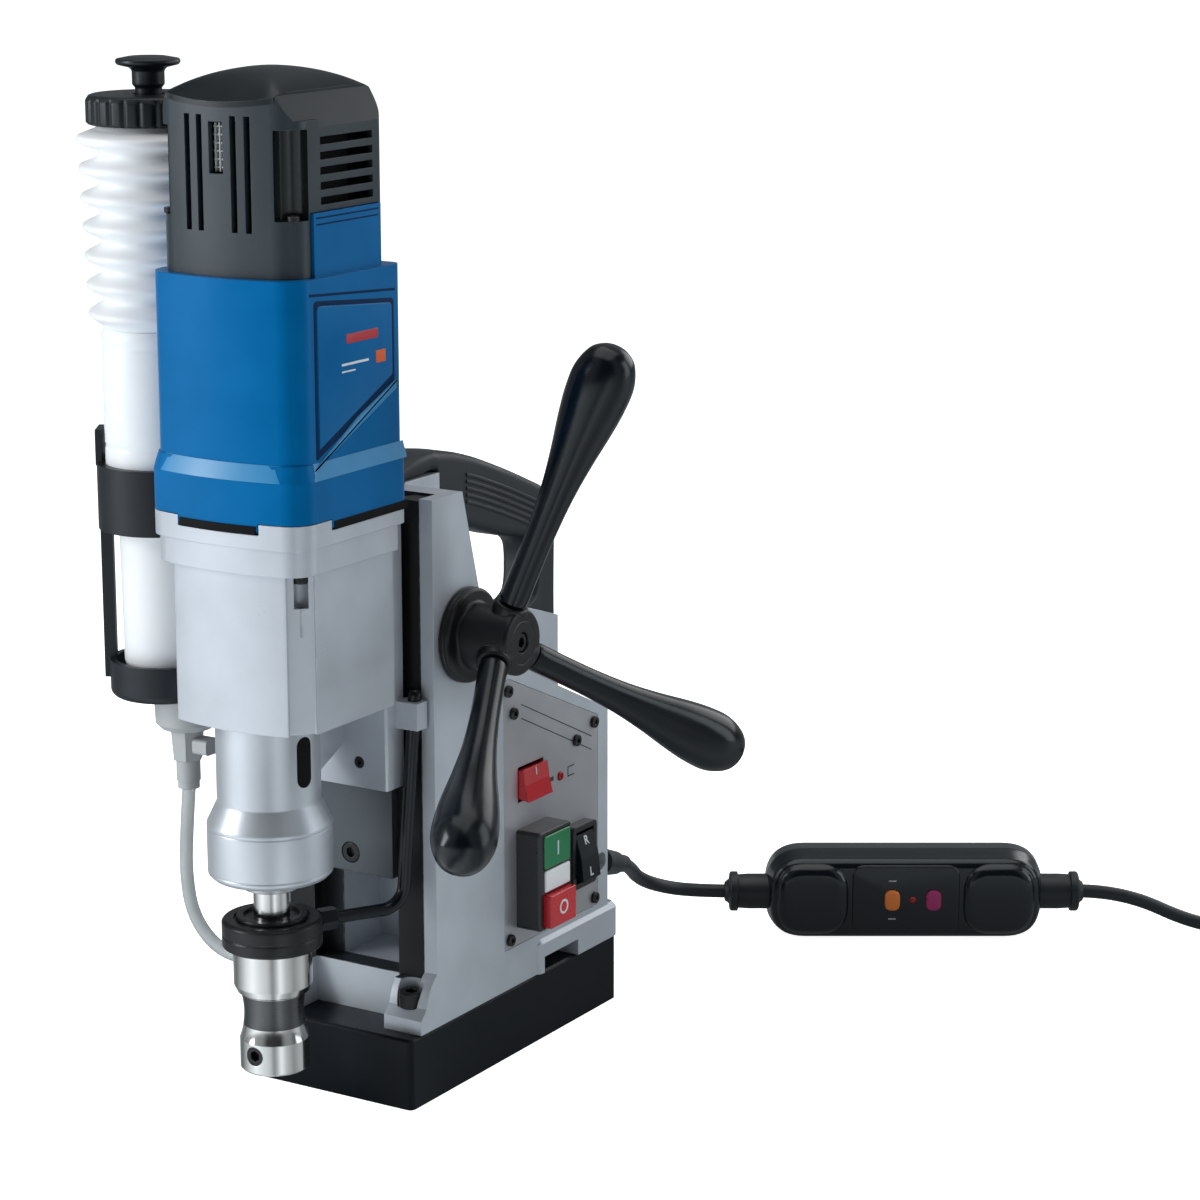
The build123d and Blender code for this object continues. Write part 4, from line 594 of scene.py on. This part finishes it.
def slab(bm, outline, low, high, place, edge=0.4, steps=3):
    """A plate of an outline with its upper rim rounded."""
    sections = [(outline, low)]
    for step in range(steps + 1):
        turn = pi / 2 * step / steps
        sections.append((shrunk(outline, edge * (1 - cos(turn))), high - edge * (1 - sin(turn))))
    stacked(bm, sections, place)


def facing(origin, right, up):
    """Matrix of a plane at a point: its X to the right, its Y up, its Z towards the viewer."""
    right, up = Vector(right).normalized(), Vector(up).normalized()
    out = right.cross(up)
    turn = Matrix((right, up, out)).transposed().to_4x4()
    return Matrix.Translation(origin) @ turn


BOTTLE = (-0.0845, -0.120, 0)
# sketch planes of the two sides: Y of a sketch is the world's Z, and X is the world's Y or minus it
SIDE = facing((0, 0, 0), (0, 1, 0), (0, 0, 1))
OTHER_SIDE = facing((0, 0, 0), (0, -1, 0), (0, 0, 1))
BOTH_SIDES = ((SIDE, 1), (OTHER_SIDE, -1))


def on_side(points, sign):
    """Points (y, z) of the world in the sketch plane of the right side, or of the left if sign is -1."""
    turned_round = points if sign > 0 else list(reversed(points))
    return [Vector((sign * y, z)) for y, z in turned_round]


# ---------------- cords
CORD_D = 0.008
HOSE_D = 0.007
BOX_TURN = radians(31.4)
BOX_PLACE = (0.1375, 0.281)
BOX_END = 0.105  # end of the in-line box's strain reliefs, from its middle
BOX_MIDDLE = 0.026
FLOOR_Z = 0.0043


def by_box(along, away, height):
    """World point from distances along and behind the in-line box, and its height."""
    return (
        BOX_PLACE[0] + along * cos(BOX_TURN) - away * sin(BOX_TURN),
        BOX_PLACE[1] + along * sin(BOX_TURN) + away * cos(BOX_TURN),
        height,
    )


COIL_ALONG, COIL_AWAY = 0.247, 0.050
COIL_CELLS = (  # radius and height of each turn, in the order in which it is wound
    (0.050, 0.0043), (0.042, 0.0043), (0.034, 0.0043), (0.034, 0.0123), (0.034, 0.0204), (0.042, 0.0204),
    (0.042, 0.0123), (0.050, 0.0123), (0.050, 0.0204),
)
LAST_LAP = len(COIL_CELLS) - 1
CHANGE_ANGLE, CHANGE_LEAD, CHANGE_SPREAD = 345, 34, 30  # degrees, of a turn's step to its place
TURN_POINTS = 24
POLYGON_PULL = 0.75 + 0.25 * cos(2 * pi / TURN_POINTS)  # the spline runs this far inside its control points


def coil_points():
    """Turns of the wound cord: each pass steps to its next place a little earlier than the pass before."""
    points = []
    for step in range(2, len(COIL_CELLS) * TURN_POINTS + TURN_POINTS // 4):
        turn = step / TURN_POINTS
        lap = int(turn)
        angle = 360 * (turn - lap)
        place, previous = COIL_CELLS[min(lap, LAST_LAP)], COIL_CELLS[max(0, lap - 1)]
        shift = 1.0
        if 1 <= lap <= LAST_LAP:
            change = CHANGE_ANGLE - CHANGE_LEAD * (lap - 1)
            shift = min(1, max(0, (angle - change) / CHANGE_SPREAD + 0.5))
            shift = shift * shift * (3 - 2 * shift)
        radius = previous[0] + (place[0] - previous[0]) * shift
        height = previous[1] + (place[1] - previous[1]) * shift
        around = radians(angle - 90)
        reach = radius / POLYGON_PULL
        points.append(by_box(COIL_ALONG + reach * cos(around), COIL_AWAY + reach * sin(around), height))
    return points


HOSE_ROUTE = (
    (-0.076, -0.1148, 0.156), (-0.078, -0.1152, 0.133), (-0.079, -0.1156, 0.110), (-0.075, -0.1162, 0.088),
    (-0.060, -0.117, 0.073), (-0.040, -0.1175, 0.070), (-0.022, -0.1176, 0.080), (-0.010, -0.1176, 0.0935),
)
LEAD_ROUTE = (
    (0.0312, 0.1387, 0.0639), (0.0223, 0.1602, 0.0549), (0.0163, 0.1808, 0.0408), (0.0206, 0.1999, 0.0315),
    (0.0317, 0.2154, 0.0266), by_box(-BOX_END, 0, BOX_MIDDLE),
)
SUPPLY_ROUTE = (
    by_box(BOX_END, 0, BOX_MIDDLE), by_box(0.1295, 0, 0.0254), by_box(0.172, 0.0015, 0.005),
    by_box(0.199, -0.002, FLOOR_Z), by_box(0.226, 0, FLOOR_Z),
)
PLUG_START = 0.038


def add_cord(name, points, diameter, finish, body, nodes):
    """A round cord along a smooth spline with these control points."""
    curve = bpy.data.curves.new(name, "CURVE")
    curve.dimensions = "3D"
    curve.bevel_depth = diameter / 2
    curve.bevel_resolution = 6
    curve.use_fill_caps = True
    curve.resolution_u = 12
    spline = curve.splines.new("NURBS")
    spline.points.add(len(points) - 1)
    for point, place in zip(spline.points, points):
        point.co = (*place, 1)
    spline.order_u = 3
    spline.use_endpoint_u = True
    cord = bpy.data.objects.new(name, curve)
    scene.collection.objects.link(cord)
    curve.materials.append(FINISH[finish])
    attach(cord, body)
    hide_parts(*nodes)
    return cord


hose = add_cord("coolant_hose_tube", HOSE_ROUTE, HOSE_D, "hose_clear", "carriage", ["coolant_hose"])
lead = add_cord("machine_lead_cord", LEAD_ROUTE, CORD_D, "cord_black", "stand", ["machine_lead"])
last_radius, last_height = COIL_CELLS[-1]
plug_entry = [
    by_box(COIL_ALONG + last_radius, COIL_AWAY + out, last_height) for out in (0.013, 0.0255, PLUG_START)
]
supply = add_cord(
    "supply_lead_cord", [*SUPPLY_ROUTE, *coil_points(), *plug_entry], CORD_D, "cord_black", "stand",
    ["supply_lead", "cord_coil"],
)

# ---------------- spindle and tool holder
def add_sleeve():
    """Turned spindle sleeve with its wide nose and two fine lines."""
    nose = [(12.9, 131), (28.5, 131), (30.9, 133.4), (31, 134.6), (30.7, 134.8), (30.7, 135.2), (31, 135.4)]
    nose += [(31, 156.8), (30.7, 157), (30.7, 157.4), (31, 157.6), (31, 159), (25.7, 170), (25.7, 212)]
    wall = [*eased(nose, 0.6), (12.9, 212)]
    add_turned(
        "sleeve_turned", wall, SPINDLE, "sleeve_steel", "carriage", ["spindle_sleeve"],
        segments=160, closed=True,
    )


def add_sleeve_slot():
    """Black plug of painted shade in the oblong opening on the right of the sleeve, above its nose."""
    bm = bmesh.new()
    radius, half_width, straight, middle, azimuth, steps = 25.7, 4.6, 8.2, 193, radians(-10), 16
    outer, inner = radius + 0.12, radius - 0.5
    columns = []
    for index in range(steps + 1):
        part = pi * index / steps
        turn = azimuth - half_width * cos(part) / radius
        reach = straight + half_width * sin(part)
        corners = ((outer, reach), (outer, -reach), (inner, -reach), (inner, reach))
        columns.append([
            bm.verts.new((away * cos(turn) * MM, away * sin(turn) * MM + SPINDLE[1], (middle + up) * MM))
            for away, up in corners
        ])
    for first, second in zip(columns, columns[1:]):
        for side in range(4):
            after = (side + 1) % 4
            bm.faces.new((first[side], first[after], second[after], second[side]))
    bm.faces.new(columns[0])
    bm.faces.new(columns[-1])
    add_piece("sleeve_slot_shade", bm, "painted_shade_black", "carriage")


def add_waist():
    """Blackened waist between the tool holder's two ground collars."""
    neck = ((46.6, -17.3), (58, -14.9), (70.4, -16.2))
    waist = [(0.08 - arc_height(neck, height), height) for height in range(54, 71)]
    add_turned("holder_waist", waist, SPINDLE, "waist_steel", "spindle_set", segments=160)


def add_ring():
    """Stepped coolant ring round the tool holder's neck."""
    ring = [(9.05, 94.3), (24, 94.3), (25, 95.3), (25, 100.4), (24.6, 100.7), (24.6, 101.3), (25, 101.6)]
    ring += [(25, 107.6), (23.6, 109), (19, 109), (19, 107.8), (17.6, 107.8), (17.6, 110.6), (14, 110.6)]
    ring += [(14, 109.2), (9.05, 109.2)]
    add_turned(
        "ring_turned", eased(ring, 0.5), SPINDLE, "black_steel", "carriage", ["coolant_ring"],
        segments=160, closed=True,
    )


add_sleeve()
add_sleeve_slot()
add_waist()
add_ring()

# ---------------- feed hub and levers
FEED = (0.070, -0.048, 0.2386)  # where the levers' axes meet
HUB_START = 0.0504
LEVER_TILT = radians(23.3)
LEVER_ANGLES = (88, 208, 328)


def lever_axis(angle):
    """Direction of a lever that leans outward."""
    out = cos(LEVER_TILT)
    return (sin(LEVER_TILT), out * cos(radians(angle)), out * sin(radians(angle)))


def add_levers():
    """Three polished club-shaped levers."""
    shank = [(0, 9.5), (5, 9.5), (5, 21.6), (6.4, 22)]
    grip = through(
        [
            (7.1, 22.6), (7.35, 26), (7.2, 40), (7.4, 62), (8.6, 84), (11, 104), (14.2, 124), (15.8, 138),
            (15.7, 150), (12.2, 160), (7.4, 164.4), (3.4, 165.8), (0, 166),
        ],
        5,
    )
    for number, angle in enumerate(LEVER_ANGLES, start=1):
        add_turned(
            f"lever_{number}_moulding", [*shank, *grip], FEED, "gloss_black", "feed_shaft",
            [f"feed_lever_{number}"], axis=lever_axis(angle), segments=72,
        )


def add_hub():
    """Hub with its stepped disc, its bored end and a collar at each lever."""
    disc = [(6.1, 0), (24.5, 0), (24.5, 2.4), (24.1, 2.7), (24.1, 3.2), (24.3, 3.5), (24.2, 4.6), (22.5, 5.6)]
    boss = [(18.4, 5.8), (17, 6.6), (17, 33), (15.6, 34.6), (11.4, 34.6), (11, 34.2), (10.6, 34.6), (5.6, 34.6)]
    bore = [(5.1, 34), (5.1, 28)]
    collar = eased([(6, 10), (8.9, 10), (8.9, 20.2), (8.1, 21), (5.05, 21)], 0.6)
    bm = bmesh.new()
    turned(bm, eased([*disc, *boss, *bore], 0.7), (HUB_START, FEED[1], FEED[2]), (1, 0, 0))
    for angle in LEVER_ANGLES:
        turned(bm, collar, FEED, lever_axis(angle), segments=64)
    add_piece("hub_moulding", bm, "black_steel", "feed_shaft", ["feed_hub"])


add_levers()
add_hub()

# ---------------- carry handle
# outer and inner edge of the handle, as (y, z) in millimetres, from the column round to the rear spine
HANDLE_STATIONS = (
    ((-50, 317), (-50, 312.2)), ((-40, 320.6), (-40, 312.2)), ((-28, 323), (-28, 312.2)),
    ((-15, 323), (-14.4, 312.2)), ((-12.5, 322.6), (-13.7, 292)), ((-8, 322), (-11, 288.5)),
    ((6, 319.2), (2, 281.8)), ((22, 314.5), (18, 276.8)), ((36, 309.5), (32, 272.3)),
    ((52, 303.4), (48, 267.2)), ((66, 297.7), (62, 264)), ((78, 292.6), (71, 261.4)),
    ((90, 287), (77, 257.5)), ((96.5, 279.5), (80, 253)), ((100, 270), (80.8, 247)),
    ((100, 258), (80.5, 242)), ((100, 246), (80, 236)), ((100, 234), (78, 229.5)),
    ((100, 224), (73, 226.5)), ((100, 214.2), (67, 225.3)),
)
GRIP_HALF = 12


def strip(points, width):
    """Outline of a narrow strip along a line of points."""
    ahead = [(Vector(b) - Vector(a)).normalized() for a, b in zip(points, points[1:])]
    ahead.append(ahead[-1])
    sides = [Vector((-step.y, step.x)) * width / 2 for step in ahead]
    upper = [Vector(point) + side for point, side in zip(points, sides)]
    lower = [Vector(point) - side for point, side in zip(points, sides)]
    return [*lower, *reversed(upper)]


def add_handle():
    """Moulded carry handle with rounded edges, ribs along its sides and ribs down its back."""
    outer = through([outer for outer, inner in HANDLE_STATIONS], 3)
    inner = through([inner for outer, inner in HANDLE_STATIONS], 3)
    bm = bmesh.new()
    rings = []
    for top, low in zip(outer, inner):
        span = (top - low).length
        ring = box_outline(2 * GRIP_HALF, span, min(5.5, 0.45 * span), (0, span / 2), steps=6)
        place = facing((0, low.x * MM, low.y * MM), (1, 0, 0), (0, *(top - low)))
        rings.append([bm.verts.new(place @ Vector((x * MM, y * MM, 0))) for x, y in ring])
    for first, second in zip(rings, rings[1:]):
        joined(bm, first, second)
    bm.faces.new(rings[0])
    bm.faces.new(reversed(rings[-1]))
    add_piece("handle_moulding", bm, "ribbed_black", "stand", ["carry_handle"], sharp=50)
    ribs = bmesh.new()
    grip = outer[19:37]  # the sloping part that a hand closes round
    for place, sign in BOTH_SIDES:
        for drop in (11, 14.6, 18.2, 21.8, 25.4):
            line = on_side([(point.x, point.y - drop) for point in grip], sign)
            slab(ribs, strip(line, 2.2), GRIP_HALF - 1, GRIP_HALF + 0.7, place, edge=0.7)
    back = facing((0, 0.0985, 0), (-1, 0, 0), (0, 0, 1))
    for rib in range(11):
        slab(ribs, box_outline(19, 2.6, 1.2, (0, 220 + 4.8 * rib), steps=3), 0, 2.3, back, edge=0.8)
    add_piece("handle_ribs", ribs, "ribbed_black", "stand")


add_handle()

# ---------------- coolant bottle, bellows and pump
BELLOWS_LOW, BELLOWS_PITCH, BELLOWS_COUNT = 394, 100 / 7, 7


def add_bottle():
    """Milky bottle with a shoulder and two fine grooves."""
    wall = [(0, 219.2), (18.5, 219.2), (20.5, 224), (21.3, 290), (27, 302), (27, 334), (26.6, 335)]
    wall += [(26.6, 336), (27, 337), (27, 384), (26.5, 385), (26.5, 386.4), (27, 387.4), (27, 392)]
    wall += [(25.3, 394), (0, 394)]
    add_turned(
        "bottle_moulding", eased(wall, 1.2), BOTTLE, "bottle_white", "carriage", ["coolant_bottle"],
        segments=128,
    )


def add_bellows():
    """Bellows of seven soft folds, a little wider towards the top."""
    folds = [(24.6, BELLOWS_LOW)]
    for fold in range(BELLOWS_COUNT):
        low = BELLOWS_LOW + BELLOWS_PITCH * fold
        rim = 33 + 0.5 * fold
        folds += [
            (25.7, low + 0.9), (27.6, low + 2.3), (rim - 1.6, low + 4.9), (rim - 0.3, low + 6.1),
            (rim, low + 7.2), (rim - 0.3, low + 8.3), (rim - 1.6, low + 9.5), (27.6, low + 12),
            (25.7, low + 13.4),
        ]
    folds.append((24.6, BELLOWS_LOW + BELLOWS_PITCH * BELLOWS_COUNT))
    piece = add_turned(
        "bellows_moulding", through(folds, 3), BOTTLE, "bottle_white", "carriage", ["coolant_bellows"],
        sharp=80, segments=112,
    )
    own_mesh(piece)


def add_pump():
    """Fluted cap, bored for the pump's stem, and the pump's knob."""
    cap = [(8.5, 494), (29.8, 494), (31, 495), (31, 505.6), (29.6, 507.9), (28, 508.5), (12.4, 508.5)]
    cap += [(12, 508.1), (11.4, 508.5), (8.5, 508.5)]
    add_turned(
        "cap_moulding", eased(cap, 0.5), BOTTLE, "satin_black", "bellows_head", ["bottle_cap"],
        segments=288, flutes=24, flute_depth=1.1, closed=True,
    )
    knob = [(0, 500), (6.6, 500), (6.6, 511.4), (8, 513), (8, 519.6), (9.4, 521.2), (15.2, 522.6)]
    knob += [(16, 523.8), (15.6, 525.4), (9.4, 526.6), (8, 526.2), (0, 526.9)]
    add_turned(
        "knob_moulding", eased(knob, 0.6), BOTTLE, "satin_black", "pump_knob", ["plunger_knob"]
    )


add_bottle()
add_bellows()
add_pump()

# ---------------- motor housing and cap details
CASE_SKIN = 43.4  # just inside the flat sides of the housing
BADGE_LOW, BADGE_HIGH = 44.3, 44.62


def add_motor_details():
    """Creases in a lighter blue as painted highlight, raised side panels, dark lines as painted shade of the
    grooves and seams, blank badges, and the pale grid in the cap's window.
    """
    raised, light, dark = bmesh.new(), bmesh.new(), bmesh.new()
    red, orange, white = bmesh.new(), bmesh.new(), bmesh.new()
    for place, sign in BOTH_SIDES:

        def plate(bm, points, low, high, edge, corner=0.0):
            outline = on_side(points, sign)
            slab(bm, corner_rounded(outline, corner) if corner else outline, low, high, place, edge=edge)

        def bar(bm, width, height, corner, y, z, low, high):
            slab(bm, box_outline(width, height, corner, (sign * y, z)), low, high, place, edge=0.1)

        frame_edge = [(-163, 349), (-163, 345), (-98, 375), (-98, 415), (-163, 421)]
        panel = [(-161, 351), (-161, 350), (-100, 378), (-100, 413), (-161, 418.5)]
        crease = [(-166, 341), (-166, 340.2), (-97, 371), (-97, 375.4), (-130, 361.5)]
        # painted shade: a dark raised border and line in a darker blue stand for the shade in the side's
        # grooves
        plate(dark, frame_edge, CASE_SKIN, 44.1, 0.1, 3)
        plate(raised, panel, CASE_SKIN, 44.5, 0.5, 3)
        # painted highlight: the crease is a raised strip in a lighter blue
        plate(light, crease, 43.2, 45.1, 0.8, 0.3)
        plate(dark, [(-166, 424.4), (-166, 423.2), (-97, 418.4), (-97, 419.6)], CASE_SKIN, 44.15, 0.1)
        bar(red, 26, 4.6, 0.6, -125, 400, BADGE_LOW, BADGE_HIGH)
        bar(white, 22, 1.2, 0.3, -131, 388, BADGE_LOW, BADGE_HIGH)
        bar(white, 11, 0.8, 0.2, -136.5, 384.6, BADGE_LOW, BADGE_HIGH)
        bar(orange, 8, 6, 0.5, -110, 388.4, BADGE_LOW, BADGE_HIGH + 0.03)
        # painted shade: two dark lines on the cap's sides for the shade of its seams
        for height in (455.6, 458.6):
            bar(dark, 50, 0.7, 0.2, -131, height, 41.2, 41.7)
    add_piece("housing_side_panels", raised, "motor_blue", "carriage")
    add_piece("housing_crease_highlights", light, "blue_painted_highlight", "carriage")
    add_piece("housing_groove_shade", dark, "blue_painted_shade", "carriage")
    add_piece("housing_badges_red", red, "badge_red", "carriage")
    add_piece("housing_badges_orange", orange, "badge_orange", "carriage")
    add_piece("housing_badge_lines", white, "mark_white", "carriage")
    grid = bmesh.new()
    front = facing((0, -0.1715, 0), (1, 0, 0), (0, 0, 1))
    for x in (-2.6, 0, 2.6):
        slab(grid, box_outline(0.9, 23, 0.3, (x, 491), steps=2), 0, 2.4, front, edge=0.3)
    for row in range(6):
        slab(grid, box_outline(7.6, 0.9, 0.3, (0, 481.6 + 3.8 * row), steps=2), 0, 2.0, front, edge=0.3)
    add_piece("cap_window_grid", grid, "fitting_grey", "carriage")


def add_flutes():
    """Dark linings of the cap's two corner flutes, and a black block of painted shade behind its vents."""
    across, along, radius, steps = 37, -168, 8.3, 24
    first_angle, spread = 65, 156
    bm = bmesh.new()
    for side in (-1, 1):
        rings = []
        for height in (458.4, 499.6):
            ring = []
            for step in range(steps + 1):
                angle = radians(first_angle + spread * step / steps)
                x, y = side * (across + radius * cos(angle)), along + radius * sin(angle)
                ring.append(bm.verts.new((x * MM, y * MM, height * MM)))
            rings.append(ring)
        for step in range(steps):
            bm.faces.new((rings[0][step], rings[0][step + 1], rings[1][step + 1], rings[1][step]))
    add_piece("cap_flutes", bm, "flute_black", "carriage")
    # painted shade: a black block fills the cap's inside behind the vents, where shade falls
    shade_block = bmesh.new()
    slab(shade_block, box_outline(62, 46, 8, (0, -133)), 436, 500, Matrix.Identity(4), edge=2)
    add_piece("cap_shade_block", shade_block, "painted_shade_black", "carriage")


def add_lid():
    """Arched lid of the cap, its crown rounded where the two arches meet."""
    across = ((-31, 516), (0, 526), (31, 516))
    along = ((-180, 509), (-142, 526), (-97, 514))
    soft, lift = 1.3, 1.05
    half, back, steps, skirt = 31.2, -97.6, 31, 2.6
    shift = 400  # keeps the powers within what a number can hold
    bm = bmesh.new()
    front = [(x, y) for x, y in casing_line(40.4, -171.4, -98, 6) if abs(x) <= half]
    front = [(-half, front[0][1]), *front, (half, front[-1][1])]
    rows = []
    for step in range(-1, steps + 2):
        drop = skirt if step in (-1, steps + 1) else 0
        row = []
        for x, start in front:
            y = start + (back - start) * max(0, step) / steps if step <= steps else back
            arch = arc_height(across, x), arc_height(along, max(-180, y))
            both = exp(shift - arch[0] / soft) + exp(shift - arch[1] / soft)
            height = lift - soft * log(both) + shift * soft
            row.append(bm.verts.new((x * MM, y * MM, (height - drop) * MM)))
        rows.append(row)
    for first, second in zip(rows, rows[1:]):
        for index in range(len(first) - 1):
            bm.faces.new((first[index], first[index + 1], second[index + 1], second[index]))
    for row_end in (0, -1):
        edge = [row[row_end] for row in rows[1:-1]]
        foot = [bm.verts.new(vertex.co - Vector((0, 0, 0.0018))) for vertex in edge]
        for index in range(len(edge) - 1):
            bm.faces.new((edge[index], edge[index + 1], foot[index + 1], foot[index]))
    add_piece("cap_lid", bm, "lid_black", "carriage", sharp=50)


def add_band():
    """Chamfered band round the foot of the housing, in a lighter blue as painted highlight."""
    low = [Vector((x, y, 336.4)) for x, y in casing_line(46.6, -177.6, -92, 7)]
    high = [Vector((x, y, 344.4)) for x, y in casing_line(44.2, -175.2, -92, 7)]
    bm = bmesh.new()
    rings = [[bm.verts.new(point * MM) for point in line] for line in (low, high)]
    for index in range(len(low) - 1):
        bm.faces.new((rings[0][index], rings[0][index + 1], rings[1][index + 1], rings[1][index]))
    add_piece("housing_band_highlight", bm, "blue_painted_highlight", "carriage")


def add_gap_shade():
    """Black strip of painted shade in the gap between the blue housing and the flange, left out at the flange's
    corner tabs.
    """
    bm = bmesh.new()
    bow_radius = (46.5**2 + 7**2) / 14
    front = []
    for step in range(13):
        x = -22.5 + 45 * step / 12
        front.append((x, -184.5 + bow_radius - (bow_radius**2 - x * x) ** 0.5))
    slab(bm, strip(front, 1.2), 311.1, 315.2, Matrix.Identity(4), edge=0.1)
    for side in (-1, 1):
        line = [(side * 46.3, -153), (side * 46.3, -92)]
        slab(bm, strip(line if side > 0 else line[::-1], 1.2), 311.1, 315.2, Matrix.Identity(4), edge=0.1)
    add_piece("housing_gap_shade", bm, "painted_shade_black", "carriage")


add_motor_details()
add_flutes()
add_gap_shade()
add_lid()
add_band()

# ---------------- in-line box
BOX_RIGHT = (cos(BOX_TURN), sin(BOX_TURN), 0)
BOX_LEFT = (-cos(BOX_TURN), -sin(BOX_TURN), 0)
BOX_OUT = (sin(BOX_TURN), -cos(BOX_TURN), 0)
BOX_FRONT = facing(by_box(0, 0, 0), BOX_RIGHT, (0, 0, 1))
BOX_BACK = facing(by_box(0, 0, 0), BOX_LEFT, (0, 0, 1))


def add_inline_box():
    """Two glossy shells with raised pads, a low middle panel, its buttons, lamp and strain reliefs."""
    middle = 26
    outline = box_outline(162, 52, 23, (0, middle), steps=12)
    front, back, core = bmesh.new(), bmesh.new(), bmesh.new()
    sections = [(outline, 0.35), (shrunk(outline, 0.9), 6)]
    for step in range(9):
        bend = pi / 2 * step / 8
        sections.append((shrunk(outline, 2 + 6 * (1 - cos(bend))), 10.4 + 6 * sin(bend)))
    stacked(front, sections, BOX_FRONT)
    pad = box_outline(43, 43, 17, (0, middle), steps=10)
    for side in (-1, 1):
        shape = [Vector((point.x + side * 54, point.y)) for point in pad]
        slab(front, shape, 12.5, 20, BOX_FRONT, edge=7, steps=10)
    slab(front, box_outline(62, 41, 7, (0, middle)), 15.5, 17.2, BOX_FRONT, edge=0.6)
    add_piece("inline_front_moulding", front, "box_black", "stand", ["inline_box_front"])
    slab(back, outline, 0.35, 18, BOX_BACK, edge=7, steps=8)
    add_piece("inline_back_moulding", back, "box_black", "stand", ["inline_box_back"])
    slab(core, shrunk(outline, 1), -0.5, 0.5, BOX_FRONT, edge=0.1)
    sleeve = [(10.3, 0), (10.3, 12), (9.9, 18), (11.6, 18.3), (11.6, 22.4), (10.2, 23.2), (7.4, 23.4)]
    sleeve = eased([*sleeve, (5.3, 26), (4, 26)], 0.5)
    for side, axis in ((-1, BOX_LEFT), (1, BOX_RIGHT)):
        turned(core, sleeve, by_box(side * 0.079, 0, BOX_MIDDLE), axis, segments=64)
    add_piece("inline_reliefs_moulding", core, "cord_black", "stand", ["inline_box_reliefs"])
    for name, along, finish in (("reset", -8, "button_orange"), ("test", 16, "button_magenta")):
        button = bmesh.new()
        outline = box_outline(8.8, 12, 4.2, (along, middle), steps=8)
        slab(button, outline, 14, 19.4, BOX_FRONT, edge=1.1, steps=5)
        add_piece(f"{name}_button_moulding", button, finish, f"{name}_key", [f"{name}_button"])
    lamp, marks = bmesh.new(), bmesh.new()
    dome = eased([(2, 0), (2, 1.2), (1.2, 2), (0, 2.2)], 0.4)
    turned(lamp, dome, by_box(0.004, -0.0162, BOX_MIDDLE), BOX_OUT, segments=32)
    add_piece("inline_lamp", lamp, "lamp_red", "stand")
    for height in (37.5, 14.5):
        slab(marks, box_outline(4.5, 0.9, 0.3, (-8, height), steps=2), 17.1, 17.35, BOX_FRONT, edge=0.1)
    add_piece("inline_marks", marks, "fitting_grey", "stand")


add_inline_box()

# ---------------- control panel marks
MARK_RELIEF = 0.00012  # how far a character stands out, and how much its strokes are thickened


def add_mark(name, text, size, place, finish, body):
    """A raised character, centred on a plane's origin; size in millimetres."""
    curve = bpy.data.curves.new(name, "FONT")
    curve.body = text
    curve.size = size * MM
    curve.extrude = curve.offset = MARK_RELIEF
    curve.align_x, curve.align_y = "CENTER", "CENTER"
    letters = bpy.data.objects.new(name, curve)
    mesh = bpy.data.meshes.new_from_object(letters)
    bpy.data.objects.remove(letters)
    mesh.transform(place)
    mesh.materials.clear()
    mesh.materials.append(FINISH[finish])
    piece = bpy.data.objects.new(name, mesh)
    scene.collection.objects.link(piece)
    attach(piece, body)


def on_right(node, y, z):
    """Plane that lies on a node's right-hand surface, at a place given by y and z."""
    back = node.matrix_world.inverted()
    start, aim = back @ Vector((0.2, y, z)), back.to_3x3() @ Vector((-1, 0, 0))
    place, normal = node.ray_cast(start, aim, depsgraph=bpy.context.evaluated_depsgraph_get())[1:3]
    out = (node.matrix_world.to_3x3() @ normal).normalized()
    up = (Vector((0, 0, 1)) - out * out.z).normalized()
    return facing(node.matrix_world @ place, up.cross(out), up)


def add_panel_marks():
    """Marks on the keys, the lens between them, and the lines printed on the panel."""
    for name, text, size, node, y, z, body in (
        ("mark_start", "I", 11, "start_button", 0.0153, 0.1115, "start_key"),
        ("mark_stop", "O", 11, "stop_button", 0.0153, 0.0795, "stop_key"),
        ("mark_right", "R", 7, "direction_rocker", 0.057, 0.1035, "direction_key"),
        ("mark_left", "L", 7, "direction_rocker", 0.057, 0.0865, "direction_key"),
        ("mark_on", "I", 6, "magnet_rocker", 0.013, 0.1525, "magnet_key"),
    ):
        add_mark(name, text, size, on_right(NODES[node], y, z), "mark_white", body)
    lens = bmesh.new()
    slab(lens, box_outline(24, 11.5, 1.2, (15.3, 95.6)), 62, 65.6, SIDE, edge=0.8)
    add_piece("switch_lens", lens, "bottle_white", "stand")
    lines = bmesh.new()
    top_line = [(4, 190.4), (4, 189.8), (74, 156.2), (74, 156.8)]
    outlines = [[(y, z - drop) for y, z in top_line] for drop in (0, 7.5)]
    outlines += [box_outline(5, 2.4, 0.4, (33, 142.4)), box_outline(0.7, 6, 0.2, (50, 142.4))]
    outlines += [box_outline(6, 0.7, 0.2, (53.3, height)) for height in (145, 140)]
    for outline in outlines:
        slab(lines, outline, 49.9, 50.12, SIDE, edge=0.05)
    add_piece("panel_lines", lines, "mark_dark", "stand")


add_panel_marks()
